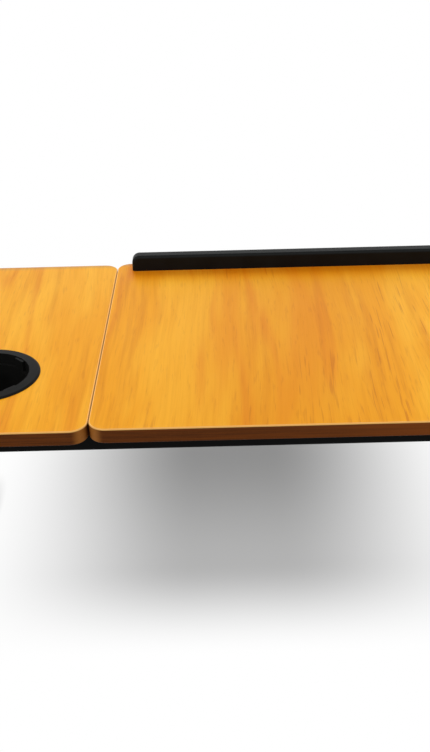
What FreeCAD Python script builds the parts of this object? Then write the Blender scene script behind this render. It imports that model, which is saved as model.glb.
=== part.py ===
"""A folding laptop table for bed, sofa or floor.

Two wood-grain panels lie on one tube frame: a small fixed side panel with a cup holder, and a large main
panel that tilts up about its far edge on a bent prop rod and two notched racks. Two U-shaped leg frames
telescope and fold in under the table.

Lengths are in millimetres. X runs along the table, the user sits at +Y, and the floor is z = 0, under the
middle of the table top.
"""
import FreeCAD
import Part

import math
import os
import re

import Sketcher

# Driving sizes: name, value, what it measures
SIZES = [
    ("top_height", 250, "floor to the top of the side panel"),
    ("table_depth", 330, "both panels, near edge to far edge"),
    ("side_width", 188.1, "side panel along X"),
    ("main_width", 411.2, "main panel along X"),
    ("seam_gap", 0.7, "between the two panels"),
    ("board_thick", 12.5, "panel thickness"),
    ("corner_radius", 14, "panel corners seen from above"),
    ("band_thick", 1, "edge band"),
    ("band_round", 0.8, "rounded edges of the edge band"),
    ("cup_gap", 8.2, "cup to the end crossbar"),
    ("cup_from_near", 93, "cup centre to the near edge"),
    ("flange_lip", 0.4, "cup flange's thickness at its rim"),
    ("flange_rise", 1.9, "cup flange's height round the mouth"),
    ("flange_crest", 7.6, "broad upper face of the cup flange"),
    ("flange_fall", 0.4, "fall of that face from the mouth outwards"),
    ("flange_bevel", 1.6, "sloping rim of the cup flange"),
    ("cup_bore", 34, "radius of the cup well"),
    ("cup_wall", 1.8, "cup wall and floor"),
    ("cup_depth", 45, "panel top to the underside of the cup"),
    ("cup_round", 3, "rounded foot of the cup"),
    ("cup_clearance", 0.4, "cup in its hole in the board"),
    ("ledge_width", 2.8, "step in the mouth of the cup"),
    ("ledge_drop", 8, "step below the top of the board"),
    ("tab_width", 11, "grip tabs in the mouth"),
    ("tab_drop", 0.8, "grip tabs below the edge of the mouth"),
    ("tab_count", 4, "grip tabs in the mouth"),
    ("bar_height", 16, "stop bar"),
    ("bar_depth", 14, "stop bar, front to back"),
    ("bar_back", 7, "stop bar to the far edge of the panel"),
    ("bar_end", 15.6, "stop bar to the side edges of the panel"),
    ("bar_end_round", 7.5, "upper corners of the stop bar seen from the front"),
    ("bar_round", 3, "rounded edges of the stop bar"),
    ("bar_screw_end", 20, "outer stop bar screws to the ends of the bar"),
    ("rail_width", 20, "frame tube across"),
    ("rail_height", 15.5, "frame tube from top to bottom"),
    ("rail_wall", 1.2, "frame tube wall"),
    ("rail_round", 2, "frame tube's outer corners"),
    ("rail_setback", 16, "panel edge to the rail's outer face"),
    ("rail_end_gap", 8, "table end to the rail's end"),
    ("end_bar_inset", 40, "table end to the middle of an end crossbar"),
    ("cap_flange", 2, "rail end cap outside the tube"),
    ("cap_plug", 10, "rail end cap inside the tube"),
    ("panel_lift", 1.2, "main panel above the rails, on its bumpers"),
    ("bumper_radius", 6, "rubber bumpers"),
    ("bumper_inset", 45, "outer bumpers to the main panel's side edges"),
    ("leaf_thick", 1, "hinge leaves"),
    ("leaf_length", 50, "hinge leaves along the pin"),
    ("leaf_reach", 34, "panel leaf from the pin"),
    ("leaf_drop", 11, "frame leaf down from the pin"),
    ("leaf_margin", 4, "leaf screw heads to the ends of the leaf"),
    ("leaf_rim", 1, "leaf screw heads to the long edge of the leaf"),
    ("hinge_inset", 75, "hinges to the main panel's side edges"),
    ("knuckle_radius", 3.5, "hinge knuckle outside"),
    ("hinge_pin", 2, "hinge pin radius"),
    ("pin_clearance", 0.1, "pivots in their bores, on the radius"),
    ("side_clearance", 0.3, "moving pieces side by side"),
    ("rod_radius", 2.5, "prop rod"),
    ("rod_bend", 8, "prop rod's bends, at its middle line"),
    ("foot_reach", 10, "prop foot over its rack"),
    ("saddle_length", 16, "prop saddle along the rod"),
    ("saddle_width", 28, "prop saddle across the rod"),
    ("saddle_flange", 2.6, "prop saddle's screw flanges"),
    ("saddle_wall", 2.6, "prop saddle round the rod"),
    ("saddle_round", 4.5, "prop saddle's lower corners"),
    ("saddle_rim", 1.3, "saddle screw heads to the ends of the saddle"),
    ("saddle_inset", 35, "prop saddles to the arms of the prop"),
    ("rack_thick", 12, "rack along X"),
    ("notch_pitch", 9, "rack notches"),
    ("notch_count", 4, "rack notches"),
    ("notch_depth", 3.2, "rack notches"),
    ("rack_margin", 8, "rack beyond its end notches"),
    ("rack_gap", 3.5, "rack to the near rail"),
    ("leg_inset", 24, "table end to the leg pivot"),
    ("leg_drop", 15, "rail underside to the leg pivot"),
    ("outer_radius", 10, "outer leg tube"),
    ("outer_wall", 1.5, "outer leg tube wall"),
    ("outer_length", 110, "outer leg tube"),
    ("inner_radius", 8, "inner leg tube"),
    ("inner_wall", 1.2, "inner leg tube wall"),
    ("leg_bend", 35, "inner leg's bends, at its middle line"),
    ("hub_width", 26, "leg knuckle along its pivot"),
    ("hub_pin", 4, "leg pivot pin radius"),
    ("neck_trim", 0.5, "leg knuckle's neck inside the hub's radius"),
    ("shoulder_drop", 16, "leg pivot to the end of the outer tube"),
    ("plug_length", 14, "leg knuckle inside the outer tube"),
    ("plug_clearance", 0.1, "plugs in their tubes, on the radius"),
    ("bracket_plate", 4, "leg bracket under the rail"),
    ("bracket_reach", 24, "leg bracket inwards of the pivot"),
    ("bracket_nose", 14, "leg bracket below the pivot"),
    ("bracket_round", 9, "leg bracket's lower corners"),
    ("bracket_edge", 1.2, "leg bracket's moulded edges"),
    ("bracket_back", 5.5, "leg bracket's outer wall"),
    ("inner_ear", 5, "leg bracket's ear on the inside"),
    ("outer_ear", 8, "leg bracket's ear on the button side"),
    ("pin_head", 6.5, "leg pivot pin head radius"),
    ("pin_head_thick", 2, "leg pivot pin head"),
    ("button_radius", 7.5, "fold button"),
    ("button_length", 5.5, "fold button"),
    ("button_stand", 2.5, "fold button proud of its ear"),
    ("button_well", 6, "depth of the button's well"),
    ("button_round", 1.2, "fold button's face edge"),
    ("button_rim", 2.2, "flat rim round the dish of a fold button"),
    ("button_dish", 0.9, "depth of the dish in a fold button"),
    ("collar_radius", 13.5, "clamp collar"),
    ("collar_height", 28, "clamp collar"),
    ("lip_height", 6, "collar below the end of the outer tube"),
    ("slide_clearance", 0.3, "inner leg in the collar's lip"),
    ("slit_width", 2, "collar's clamping slit"),
    ("lug_radius", 3.2, "lever lugs of the collar"),
    ("lug_height", 4, "lever lugs of the collar"),
    ("lever_reach", 17, "leg axis to the lever's pivot"),
    ("lever_gap", 0.6, "closed lever to the collar"),
    ("lever_thick", 3.5, "lever band"),
    ("tail_gap", 0.6, "lever's tail to the collar's socket"),
    ("lever_bead", 2.6, "thumb bead on the lever's tail"),
    ("lever_pin", 1.5, "lever pin radius"),
    ("socket_radius", 8.5, "collar's socket for the spreader"),
    ("socket_reach", 18, "leg axis to the mouth of the socket"),
    ("socket_depth", 5, "spreader inside its socket"),
    ("spreader_radius", 6, "spreader tube"),
    ("spreader_wall", 1.2, "spreader tube wall"),
    ("bush_flange", 4, "glide bush above the inner tube"),
    ("bush_plug", 12, "glide bush inside the inner tube"),
    ("sole_thick", 4, "foot pad under the leg bar"),
    ("pad_wall", 5, "foot pad round the leg bar"),
    ("pad_length", 44, "foot pad along the leg bar"),
    ("pad_round", 1.5, "foot pad's ends"),
    ("pad_gap", 2, "foot pads to the leg's bends"),
    ("screw_radius", 1.6, "wood and sheet screws"),
    ("screw_head", 3, "screw head radius"),
    ("head_top", 2.1, "radius of the flat on a screw head"),
    ("head_height", 1.8, "screw head"),
    ("screw_bite", 8, "screw in the board or past the tube wall"),
    ("screw_clearance", 0.1, "screws in their holes, on the radius"),
    ("screw_edge", 68, "side panel screws to the panel's ends"),
    ("bolt_pitch", 16, "bracket bolts"),
    ("bolt_edge", 7, "bracket bolts to the inner end of the bracket"),
]
ALIASES = [alias for alias, value, note in SIZES]

# Places worked out from the driving sizes
PLACES = {
    "half_length": "(side_width + seam_gap + main_width) / 2",
    "half_depth": "table_depth / 2",
    "side_middle": "side_width / 2 - half_length",
    "seam_middle": "side_width + seam_gap / 2 - half_length",
    "main_middle": "half_length - main_width / 2",
    "cup_x": "rail_width / 2 - end_bar_x + cup_gap + cup_outside",
    "cup_y": "cup_from_near - half_depth",
    "cup_outside": "cup_bore + cup_wall",
    "mouth_radius": "cup_bore + ledge_width",
    "mouth_outside": "mouth_radius + cup_wall",
    "flange_radius": "mouth_radius + flange_crest + flange_bevel",
    "rail_top": "top_height - board_thick",
    "rail_bottom": "rail_top - rail_height",
    "rail_y": "half_depth - rail_setback - rail_width / 2",
    "rail_end": "half_length - rail_end_gap",
    "end_bar_x": "half_length - end_bar_inset",
    "panel_bottom": "rail_top + panel_lift",
    "panel_top": "panel_bottom + board_thick",
    "bar_y": "half_depth - bar_back - bar_depth / 2",
    "hinge_spread": "(main_width / 2 - hinge_inset)",
    "hinge_y": "rail_y + rail_width / 2 + knuckle_radius",
    "hinge_z": "panel_bottom - knuckle_radius",
    "leaf_segment": "(leaf_length - 2 * side_clearance) / 3",
    "leaf_screw_y": "hinge_y - leaf_reach + screw_head + leaf_rim",
    "leaf_screw_z": "hinge_z - leaf_drop + screw_head + leaf_rim",
    "foot_y": "rail_width / 2 - rail_y + rack_gap + rack_margin",
    "prop_y": "(hinge_y + foot_y) / 2",
    "seam_bar_face": "seam_middle + rail_width / 2",
    "end_bar_face": "end_bar_x - rail_width / 2",
    "prop_left": "seam_bar_face + rack_thick + side_clearance + 2 * rod_radius",
    "prop_right": "end_bar_face - rack_thick - side_clearance - 2 * rod_radius",
    "prop_drop": "panel_bottom - hinge_z",
    "rack_height": "hinge_z - rod_radius - side_clearance - rail_bottom",
    "rack_length": "2 * rack_margin + notch_pitch * notch_count",
    "rack_screw_z": "screw_head + side_clearance",
    "pivot_x": "half_length - leg_inset",
    "pivot_z": "rail_bottom - leg_drop",
    "ear_face": "hub_width / 2 + side_clearance",
    "outer_face": "ear_face + outer_ear",
    "shoulder_z": "pivot_z - shoulder_drop",
    "tube_end": "shoulder_z - outer_length",
    "collar_bottom": "tube_end - lip_height",
    "outer_bore": "outer_radius - outer_wall",
    "inner_bore": "inner_radius - inner_wall",
    "lever_inside": "collar_radius + lever_gap",
    "lever_outside": "lever_inside + lever_thick",
    "lever_tail": "90 deg + asin((socket_radius + tail_gap) / lever_inside)",
    "leg_bar_z": "sole_thick + inner_radius",
    "bush_bottom": "shoulder_z - plug_length - side_clearance - bush_flange",
    "pad_radius": "inner_radius + pad_wall",
    "pad_spread": "rail_y - leg_bend - pad_gap - pad_length / 2",
}

ORIGIN = FreeCAD.Vector(0, 0, 0)
UP = FreeCAD.Vector(0, 0, 1)
ALONG_X = FreeCAD.Rotation(FreeCAD.Vector(0, 1, 0), 90)
ALONG_Y = FreeCAD.Rotation(FreeCAD.Vector(1, 0, 0), -90)
TOWARDS_NEAR = FreeCAD.Rotation(FreeCAD.Vector(1, 0, 0), 90)
EIGHTH_TURN = FreeCAD.Rotation(UP, 45)
SAME_PLACE = 0.001
WORD = re.compile(r"[a-z][a-z_0-9]*")

doc = FreeCAD.newDocument("laptop_table")
sheet = doc.addObject("Spreadsheet::Sheet", "Sizes")
for row, (alias, value, note) in enumerate(SIZES, start=1):
    sheet.set(f"A{row}", note)
    sheet.set(f"B{row}", str(value))
    sheet.setAlias(f"B{row}", alias)
doc.recompute()
nodes = []


# Helpers: sizes and places

def formula(rule):
    """Spell a rule out in the sheet's cells, so that a property can be bound to it."""
    def spell(found):
        word = found.group()
        if word in PLACES:
            return f"({formula(PLACES[word])})"
        return f"Sizes.{word}" if word in ALIASES else word
    return WORD.sub(spell, str(rule))


def number(rule):
    """The value of a rule at the sheet's present sizes."""
    return float(sheet.evalExpression(formula(rule)))


def place(piece, x="0", y="0", z="0"):
    """Put a piece's own origin at a point of the table."""
    for axis, rule in zip("xyz", (x, y, z)):
        piece.setExpression(f"Placement.Base.{axis}", formula(rule))
    return piece


def node(piece, label=None):
    """Keep a finished piece as a sub-part of the table, under its own label."""
    if label:
        piece.Label = label
    nodes.append(piece)
    return piece


# Helpers: sketches

def sketch(owner, plane, offset="0"):
    """A sketch on one of a body's own planes, moved along that plane's normal."""
    made = owner.newObject("Sketcher::SketchObject", "sketch")
    support = next(item for item in owner.Origin.OriginFeatures if item.Role == plane)
    made.AttachmentSupport = [(support, "")]
    made.MapMode = "FlatFace"
    made.setExpression("AttachmentOffset.Base.z", formula(offset))
    return made


def bind(drawing, kind, *where, rule):
    """A dimension of a sketch that follows a rule."""
    index = drawing.addConstraint(Sketcher.Constraint(kind, *where, number(rule)))
    drawing.setExpression(f"Constraints[{index}]", formula(rule))


def pin_point(drawing, item, end, x, y):
    """Hold one end of a sketched line, or a centre, at a point."""
    bind(drawing, "DistanceX", -1, 1, item, end, rule=x)
    bind(drawing, "DistanceY", -1, 1, item, end, rule=y)


def circle(drawing, radius, x="0", y="0"):
    middle = FreeCAD.Vector(number(x), number(y), 0)
    ring = drawing.addGeometry(Part.Circle(middle, UP, number(radius)), False)
    bind(drawing, "Radius", ring, rule=radius)
    pin_point(drawing, ring, 3, x, y)


def outline(drawing, corners):
    """A closed outline of straight lines through corners given as pairs of rules."""
    points = [FreeCAD.Vector(number(x), number(y), 0) for x, y in corners]
    lines = []
    for start, end in zip(points, points[1:] + points[:1]):
        lines.append(drawing.addGeometry(Part.LineSegment(start, end), False))
    for line, following in zip(lines, lines[1:] + lines[:1]):
        drawing.addConstraint(Sketcher.Constraint("Coincident", line, 2, following, 1))
    for line, (x, y) in zip(lines, corners):
        pin_point(drawing, line, 1, x, y)


def rectangle(drawing, left, right, bottom, top):
    outline(drawing, [(left, bottom), (right, bottom), (right, top), (left, top)])


def bent_line(drawing, corners, bend, closed=False):
    """Runs along the two axes of a sketch, joined by tangent arcs of one radius."""
    points = [FreeCAD.Vector(number(x), number(y), 0) for x, y in corners]
    radius = number(bend)
    count = len(points)
    spans = count if closed else count - 1
    runs = []
    for index in range(spans):
        start, end = points[index], points[(index + 1) % count]
        along = (end - start).normalize()
        first = start + along * radius if closed or index > 0 else start
        last = end - along * radius if closed or index < spans - 1 else end
        run = drawing.addGeometry(Part.LineSegment(first, last), False)
        if abs(along.x) > abs(along.y):
            drawing.addConstraint(Sketcher.Constraint("Horizontal", run))
            bind(drawing, "DistanceY", -1, 1, run, 1, rule=corners[index][1])
        else:
            drawing.addConstraint(Sketcher.Constraint("Vertical", run))
            bind(drawing, "DistanceX", -1, 1, run, 1, rule=corners[index][0])
        runs.append((run, along))
    turns = range(count) if closed else range(1, count - 1)
    for index in turns:
        (before, arrive), (after, leave) = runs[index - 1], runs[index]
        middle = points[index] + (leave - arrive) * radius
        left_turn = arrive.cross(leave).z > 0
        begin, finish = (-leave, arrive) if left_turn else (arrive, -leave)
        angles = [math.atan2(way.y, way.x) for way in (begin, finish)]
        arc = drawing.addGeometry(Part.ArcOfCircle(Part.Circle(middle, UP, radius), *angles), False)
        near_end, far_end = (1, 2) if left_turn else (2, 1)
        drawing.addConstraint(Sketcher.Constraint("Tangent", before, 2, arc, near_end))
        drawing.addConstraint(Sketcher.Constraint("Tangent", arc, far_end, after, 1))
        bind(drawing, "Radius", arc, rule=bend)
    if not closed:
        for (run, along), end, (x, y) in ((runs[0], 1, corners[0]), (runs[-1], 2, corners[-1])):
            kind, rule = ("DistanceX", x) if abs(along.x) > abs(along.y) else ("DistanceY", y)
            bind(drawing, kind, -1, 1, run, end, rule=rule)


def rounded_rectangle(drawing, width, depth, radius, up="0"):
    """A rectangle with round corners, with its middle on the sketch's upright axis."""
    left, right = f"-({width}) / 2", f"({width}) / 2"
    near, far = f"{up} - ({depth}) / 2", f"{up} + ({depth}) / 2"
    bent_line(drawing, [(left, near), (right, near), (right, far), (left, far)], radius, closed=True)


def arch(drawing, radius, height):
    """A flat base with upright sides and a half-round top."""
    left = FreeCAD.Vector(-number(radius), 0, 0)
    right = FreeCAD.Vector(number(radius), 0, 0)
    rise = FreeCAD.Vector(0, number(height), 0)
    ring = Part.Circle(rise, UP, number(radius))
    base = drawing.addGeometry(Part.LineSegment(left, right), False)
    right_wall = drawing.addGeometry(Part.LineSegment(right, right + rise), False)
    crown = drawing.addGeometry(Part.ArcOfCircle(ring, 0, math.pi), False)
    left_wall = drawing.addGeometry(Part.LineSegment(left + rise, left), False)
    drawing.addConstraint(Sketcher.Constraint("Coincident", base, 2, right_wall, 1))
    drawing.addConstraint(Sketcher.Constraint("Coincident", left_wall, 2, base, 1))
    drawing.addConstraint(Sketcher.Constraint("Vertical", right_wall))
    drawing.addConstraint(Sketcher.Constraint("Vertical", left_wall))
    drawing.addConstraint(Sketcher.Constraint("Tangent", right_wall, 2, crown, 1))
    drawing.addConstraint(Sketcher.Constraint("Tangent", crown, 2, left_wall, 1))
    pin_point(drawing, base, 1, f"-({radius})", "0")
    pin_point(drawing, base, 2, radius, "0")
    bind(drawing, "DistanceY", -1, 1, crown, 3, rule=height)


# Helpers: features

def body(name):
    made = doc.addObject("PartDesign::Body", name)
    made.Label = name
    return made


def pad(owner, drawing, length, midplane=False, reverse=False):
    made = owner.newObject("PartDesign::Pad", "pad")
    made.Profile = drawing
    made.Midplane = midplane
    made.Reversed = reverse
    made.setExpression("Length", formula(length))
    doc.recompute()
    return made


def pocket(owner, drawing, depth, midplane=False, reverse=False):
    """Cut a sketch into a body, and make sure that the cut went the right way."""
    volume = owner.Shape.Volume
    made = owner.newObject("PartDesign::Pocket", "pocket")
    made.Profile = drawing
    made.Midplane = midplane
    made.Reversed = reverse
    made.setExpression("Length", formula(depth))
    doc.recompute()
    if owner.Shape.Volume >= volume:
        raise RuntimeError(f"{owner.Label}: a pocket cuts nothing")
    return made


def revolve(owner, drawing, axis):
    made = owner.newObject("PartDesign::Revolution", "revolution")
    made.Profile = drawing
    made.ReferenceAxis = (drawing, [axis])
    made.Angle = 360
    doc.recompute()
    return made


def fillet(owner, radius, wanted):
    """Round those edges of a body's latest feature that pass a test."""
    base = owner.Tip
    names = [f"Edge{index}" for index, edge in enumerate(base.Shape.Edges, start=1) if wanted(edge)]
    made = owner.newObject("PartDesign::Fillet", "fillet")
    made.Base = (base, names)
    made.setExpression("Radius", formula(radius))
    doc.recompute()
    return made


def pattern(owner, feature, kind, reference, count, **extent):
    """Repeat a feature in a line or round an axis."""
    made = owner.newObject(f"PartDesign::{kind}", "pattern")
    made.Originals = [feature]
    setattr(made, "Axis" if kind == "PolarPattern" else "Direction", reference)
    for name, rule in extent.items():
        made.setExpression(name, formula(rule))
    made.setExpression("Occurrences", formula(count))
    owner.Tip = made
    doc.recompute()
    return made


def runs_along(edge, axis):
    """Whether an edge is straight and runs along an axis, 0 to 2."""
    if edge.Curve.TypeId != "Part::GeomLine":
        return False
    tangent = edge.tangentAt(edge.FirstParameter)
    return all(abs(tangent[other]) < SAME_PLACE for other in range(3) if other != axis)


def is_round(edge):
    return edge.Curve.TypeId == "Part::GeomCircle"


def at_level(edge, axis, rule):
    """Whether a whole edge lies at one place along an axis, 0 to 2."""
    return all(abs(vertex.Point[axis] - number(rule)) < SAME_PLACE for vertex in edge.Vertexes)


def cylinder(name, radius, length, x, y, z, turn=None):
    """A round bar that starts at a point and runs up, or along another axis."""
    made = doc.addObject("Part::Cylinder", name)
    if turn:
        made.Placement = FreeCAD.Placement(ORIGIN, turn)
    made.setExpression("Radius", formula(radius))
    made.setExpression("Height", formula(length))
    return place(made, x, y, z)


def block(name, length, width, height, x, y, z):
    """A box whose lowest corner is at a point."""
    made = doc.addObject("Part::Box", name)
    for side, rule in zip(("Length", "Width", "Height"), (length, width, height)):
        made.setExpression(side, formula(rule))
    return place(made, x, y, z)


def fuse(name, pieces):
    made = doc.addObject("Part::MultiFuse", name)
    made.Shapes = pieces
    made.Refine = True
    return made


def cut(name, base, tools):
    made = doc.addObject("Part::Cut", name)
    made.Base = base
    made.Tool = tools[0] if len(tools) == 1 else fuse(f"{name}_tools", tools)
    return made


def group(label, pieces):
    """Several like solids in one sub-part."""
    made = doc.addObject("Part::Compound", label)
    made.Links = pieces
    return node(made, label)


def mirrored(name, source, axis):
    """The same piece on the other side of the table's middle plane, across X or Y."""
    made = doc.addObject("Part::Mirroring", name)
    made.Source = source
    made.Base = ORIGIN
    made.Normal = FreeCAD.Vector(axis == "x", axis == "y", 0)
    return made


def screw(name, length, x, y, z, turn=None):
    """A pan head screw: its head's seat is at the point, and its shank runs up, or as turned."""
    made = body(name)
    profile = sketch(made, "XZ_Plane")
    outline(profile, [
        ("0", "-head_height"),
        ("head_top", "-head_height"),
        ("screw_head", "-head_height / 2"),
        ("screw_head", "0"),
        ("screw_radius", "0"),
        ("screw_radius", length),
        ("0", length),
    ])
    revolve(made, profile, "V_Axis")
    if turn:
        made.Placement = FreeCAD.Placement(ORIGIN, turn)
    return place(made, x, y, z)


def pipe(owner, path, section):
    """Carry a section along a path."""
    made = owner.newObject("PartDesign::AdditivePipe", "pipe")
    made.Profile = section
    made.Spine = path
    doc.recompute()
    return made


def four_corners(source):
    """A piece of the near left corner, and its mirror images in the other three."""
    far = mirrored(f"{source.Label}_far", source, "y")
    right = mirrored(f"{source.Label}_right", source, "x")
    across = mirrored(f"{source.Label}_across", far, "x")
    return [source, far, right, across]


def corner_nodes(source, stem):
    """The same four pieces, each a sub-part of its own."""
    names = [f"{corner}_{stem}" for corner in ("near_left", "far_left", "near_right", "far_right")]
    for piece, label in zip(four_corners(source), names):
        node(piece, label)


def leg_pair(source, stem):
    """A piece of the near left leg with its far twin as one sub-part, and the same on the right leg."""
    left = group(f"left_{stem}", [source, mirrored(f"{source.Label}_far", source, "y")])
    node(mirrored(f"right_{stem}", left, "x"))


# Panels

def board_outline(drawing, width):
    """The board inside its edge band."""
    depth = "table_depth - 2 * band_thick"
    rounded_rectangle(drawing, f"{width} - 2 * band_thick", depth, "corner_radius - band_thick")


def board(label, width, x, bottom):
    made = body(label)
    top = sketch(made, "XY_Plane")
    board_outline(top, width)
    pad(made, top, "board_thick")
    return node(place(made, x, "0", bottom))


def edge_band(label, width, x, bottom):
    """A strip bent round the board, with its two outer edges rounded."""
    made = body(label)
    ring = sketch(made, "XY_Plane")
    rounded_rectangle(ring, width, "table_depth", "corner_radius")
    board_outline(ring, width)
    pad(made, ring, "board_thick")
    reach_x = number(f"{width} / 2 - band_thick / 2")
    reach_y = number("half_depth - band_thick / 2")
    round_corner = number("corner_radius - band_thick / 2")

    def outer_edge(edge):
        if not (at_level(edge, 2, "0") or at_level(edge, 2, "board_thick")):
            return False
        if is_round(edge):
            return edge.Curve.Radius > round_corner
        middle = edge.CenterOfMass
        return abs(middle.x) > reach_x or abs(middle.y) > reach_y

    fillet(made, "band_round", outer_edge)
    return node(place(made, x, "0", bottom))


def drill(owner, plane, radius, spots, depth, offset="0", reverse=False):
    """Round holes of one size and depth."""
    holes = sketch(owner, plane, offset)
    for across, along in spots:
        circle(holes, radius, across, along)
    pocket(owner, holes, depth, reverse=reverse)


SCREW_HOLE = "screw_radius + screw_clearance"
HEAD_HOLE = "screw_head + screw_clearance"
HEAD_RECESS = "(head_height + 2 * screw_clearance)"
PILOT_DEPTH = "screw_bite + side_clearance"
SIDE_SCREWS = [f"{sign}(side_width / 2 - screw_edge)" for sign in ("-", "")]
BAR_REACH = "(main_width / 2 - bar_end - bar_screw_end)"
BAR_SCREWS = [f"-{BAR_REACH}", "0", BAR_REACH]
HINGES = ["-hinge_spread", "hinge_spread"]
LEAF_HALF = "(leaf_length / 2 - screw_head - leaf_margin)"
LEAF_SCREWS = [f"{hinge} {sign} {LEAF_HALF}" for hinge in HINGES for sign in "+-"]
SADDLES = ["prop_left + saddle_inset", "prop_right - saddle_inset"]
SADDLE_SCREWS = [f"{sign}(saddle_width / 2 - screw_head - saddle_rim)" for sign in ("-", "")]


def side_panel():
    made = board("side_board", "side_width", "side_middle", "rail_top")
    hole = sketch(made, "XY_Plane")
    circle(hole, "mouth_outside + cup_clearance", "cup_x - (side_middle)", "cup_y")
    pocket(made, hole, "board_thick", reverse=True)
    spots = [(x, y) for x in SIDE_SCREWS for y in ("-rail_y", "rail_y")]
    drill(made, "XY_Plane", SCREW_HOLE, spots, PILOT_DEPTH, reverse=True)
    edge_band("side_edge_band", "side_width", "side_middle", "rail_top")
    screws = []
    for x, y in spots:
        screws.append(screw("side_screw", "rail_height + screw_bite", f"side_middle + {x}", y, "rail_bottom"))
    group("side_board_screws", screws)


def main_panel():
    made = board("main_board", "main_width", "main_middle", "panel_bottom")
    bar_spots = [(x, "bar_y") for x in BAR_SCREWS]
    drill(made, "XY_Plane", HEAD_HOLE, bar_spots, HEAD_RECESS, reverse=True)
    drill(made, "XY_Plane", SCREW_HOLE, bar_spots, "board_thick", reverse=True)
    pilots = [(x, "leaf_screw_y") for x in LEAF_SCREWS]
    pilots += [(f"{x} - (main_middle)", f"prop_y + {y}") for x in SADDLES for y in SADDLE_SCREWS]
    drill(made, "XY_Plane", SCREW_HOLE, pilots, PILOT_DEPTH, reverse=True)
    edge_band("main_edge_band", "main_width", "main_middle", "panel_bottom")


def stop_bar():
    """The ledge along the user's edge, with round upper corners and softened edges."""
    made = body("stop_bar")
    end = sketch(made, "YZ_Plane")
    rectangle(end, "-bar_depth / 2", "bar_depth / 2", "0", "bar_height")
    pad(made, end, "main_width - 2 * bar_end", midplane=True)
    fillet(made, "bar_end_round", lambda edge: runs_along(edge, 1) and at_level(edge, 2, "bar_height"))
    half = "bar_depth / 2"

    def front_or_back(edge):
        on_a_face = at_level(edge, 1, half) or at_level(edge, 1, f"-{half}")
        return on_a_face and not at_level(edge, 2, "0")

    fillet(made, "bar_round", front_or_back)
    drill(made, "XY_Plane", SCREW_HOLE, [(x, "0") for x in BAR_SCREWS], PILOT_DEPTH, reverse=True)
    node(place(made, "main_middle", "bar_y", "panel_top"))
    screws = []
    for x in BAR_SCREWS:
        length = f"board_thick - {HEAD_RECESS} + screw_bite"
        seat = f"panel_bottom + {HEAD_RECESS}"
        screws.append(screw("bar_screw", length, f"main_middle + {x}", "bar_y", seat))
    group("stop_bar_screws", screws)


def cup_holder():
    """A turned well with a bevelled flange, a wider mouth, and grip tabs on the step between them."""
    made = body("cup_holder")
    half = sketch(made, "XZ_Plane")
    outline(half, [
        ("0", "-cup_depth"),
        ("cup_outside", "-cup_depth"),
        ("cup_outside", "-ledge_drop - cup_wall"),
        ("mouth_outside", "-ledge_drop - cup_wall"),
        ("mouth_outside", "0"),
        ("flange_radius", "0"),
        ("flange_radius", "flange_lip"),
        ("mouth_radius + flange_crest", "flange_rise - flange_fall"),
        ("mouth_radius", "flange_rise"),
        ("mouth_radius", "-ledge_drop"),
        ("cup_bore", "-ledge_drop"),
        ("cup_bore", "cup_wall - cup_depth"),
        ("0", "cup_wall - cup_depth"),
    ])
    revolve(made, half, "V_Axis")
    fillet(made, "cup_round", lambda edge: at_level(edge, 2, "-cup_depth") and is_round(edge))
    tab = sketch(made, "XY_Plane", "-ledge_drop")
    tab.AttachmentOffset = FreeCAD.Placement(ORIGIN, EIGHTH_TURN)
    tab.setExpression("AttachmentOffset.Base.z", formula("-ledge_drop"))
    rectangle(tab, "cup_bore", "mouth_radius + cup_wall / 2", "-tab_width / 2", "tab_width / 2")
    raised = pad(made, tab, "ledge_drop + flange_rise - tab_drop")
    pattern(made, raised, "PolarPattern", (tab, ["N_Axis"]), "tab_count", Angle="360")
    node(place(made, "cup_x", "cup_y", "top_height"))


# Frame

def tube_outline(drawing, inset, radius):
    """The frame tube's outline, or one that lies inside it by an inset."""
    width, height = f"rail_width - 2 * {inset}", f"rail_height - 2 * {inset}"
    rounded_rectangle(drawing, width, height, radius, up="rail_height / 2")


def square_tube(label, plane, length):
    """A frame tube that stands on its own origin and reaches as far both ways."""
    made = body(label)
    section = sketch(made, plane)
    tube_outline(section, "0", "rail_round")
    tube_outline(section, "rail_wall", "rail_round - rail_wall")
    pad(made, section, length, midplane=True)
    return node(made)


BRACKET_BOLTS = ["bracket_reach - bolt_edge", "bracket_reach - bolt_edge - bolt_pitch"]


def rail(label, side):
    made = square_tube(label, "YZ_Plane", "2 * rail_end")
    through = [(f"side_middle + {x}", "0") for x in SIDE_SCREWS]
    drill(made, "XY_Plane", SCREW_HOLE, through, "rail_height", reverse=True)
    bolts = [(f"{sign}(pivot_x - ({x}))", "0") for sign in ("-", "") for x in BRACKET_BOLTS]
    drill(made, "XY_Plane", SCREW_HOLE, bolts, "rail_height / 2", reverse=True)
    if side == "":
        spots = [(f"main_middle + {x}", "leaf_screw_z - rail_bottom") for x in LEAF_SCREWS]
        drill(made, "XZ_Plane", SCREW_HOLE, spots, "rail_width / 2")
    place(made, "0", f"{side}rail_y", "rail_bottom")


RACK_SCREWS = [("notch_pitch / 2", "rack_screw_z"), ("notch_pitch * (notch_count - 0.5)", "rack_screw_z")]


def crossbar(label, x, rack_side=0):
    """A tube between the rails. Its side wall is drilled where it carries a rack."""
    made = square_tube(label, "XZ_Plane", "2 * rail_y - rail_width")
    if rack_side:
        spots = [(f"foot_y + {y}", z) for y, z in RACK_SCREWS]
        drill(made, "YZ_Plane", SCREW_HOLE, spots, "rail_width / 2", reverse=rack_side > 0)
    place(made, x, "0", "rail_bottom")


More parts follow.
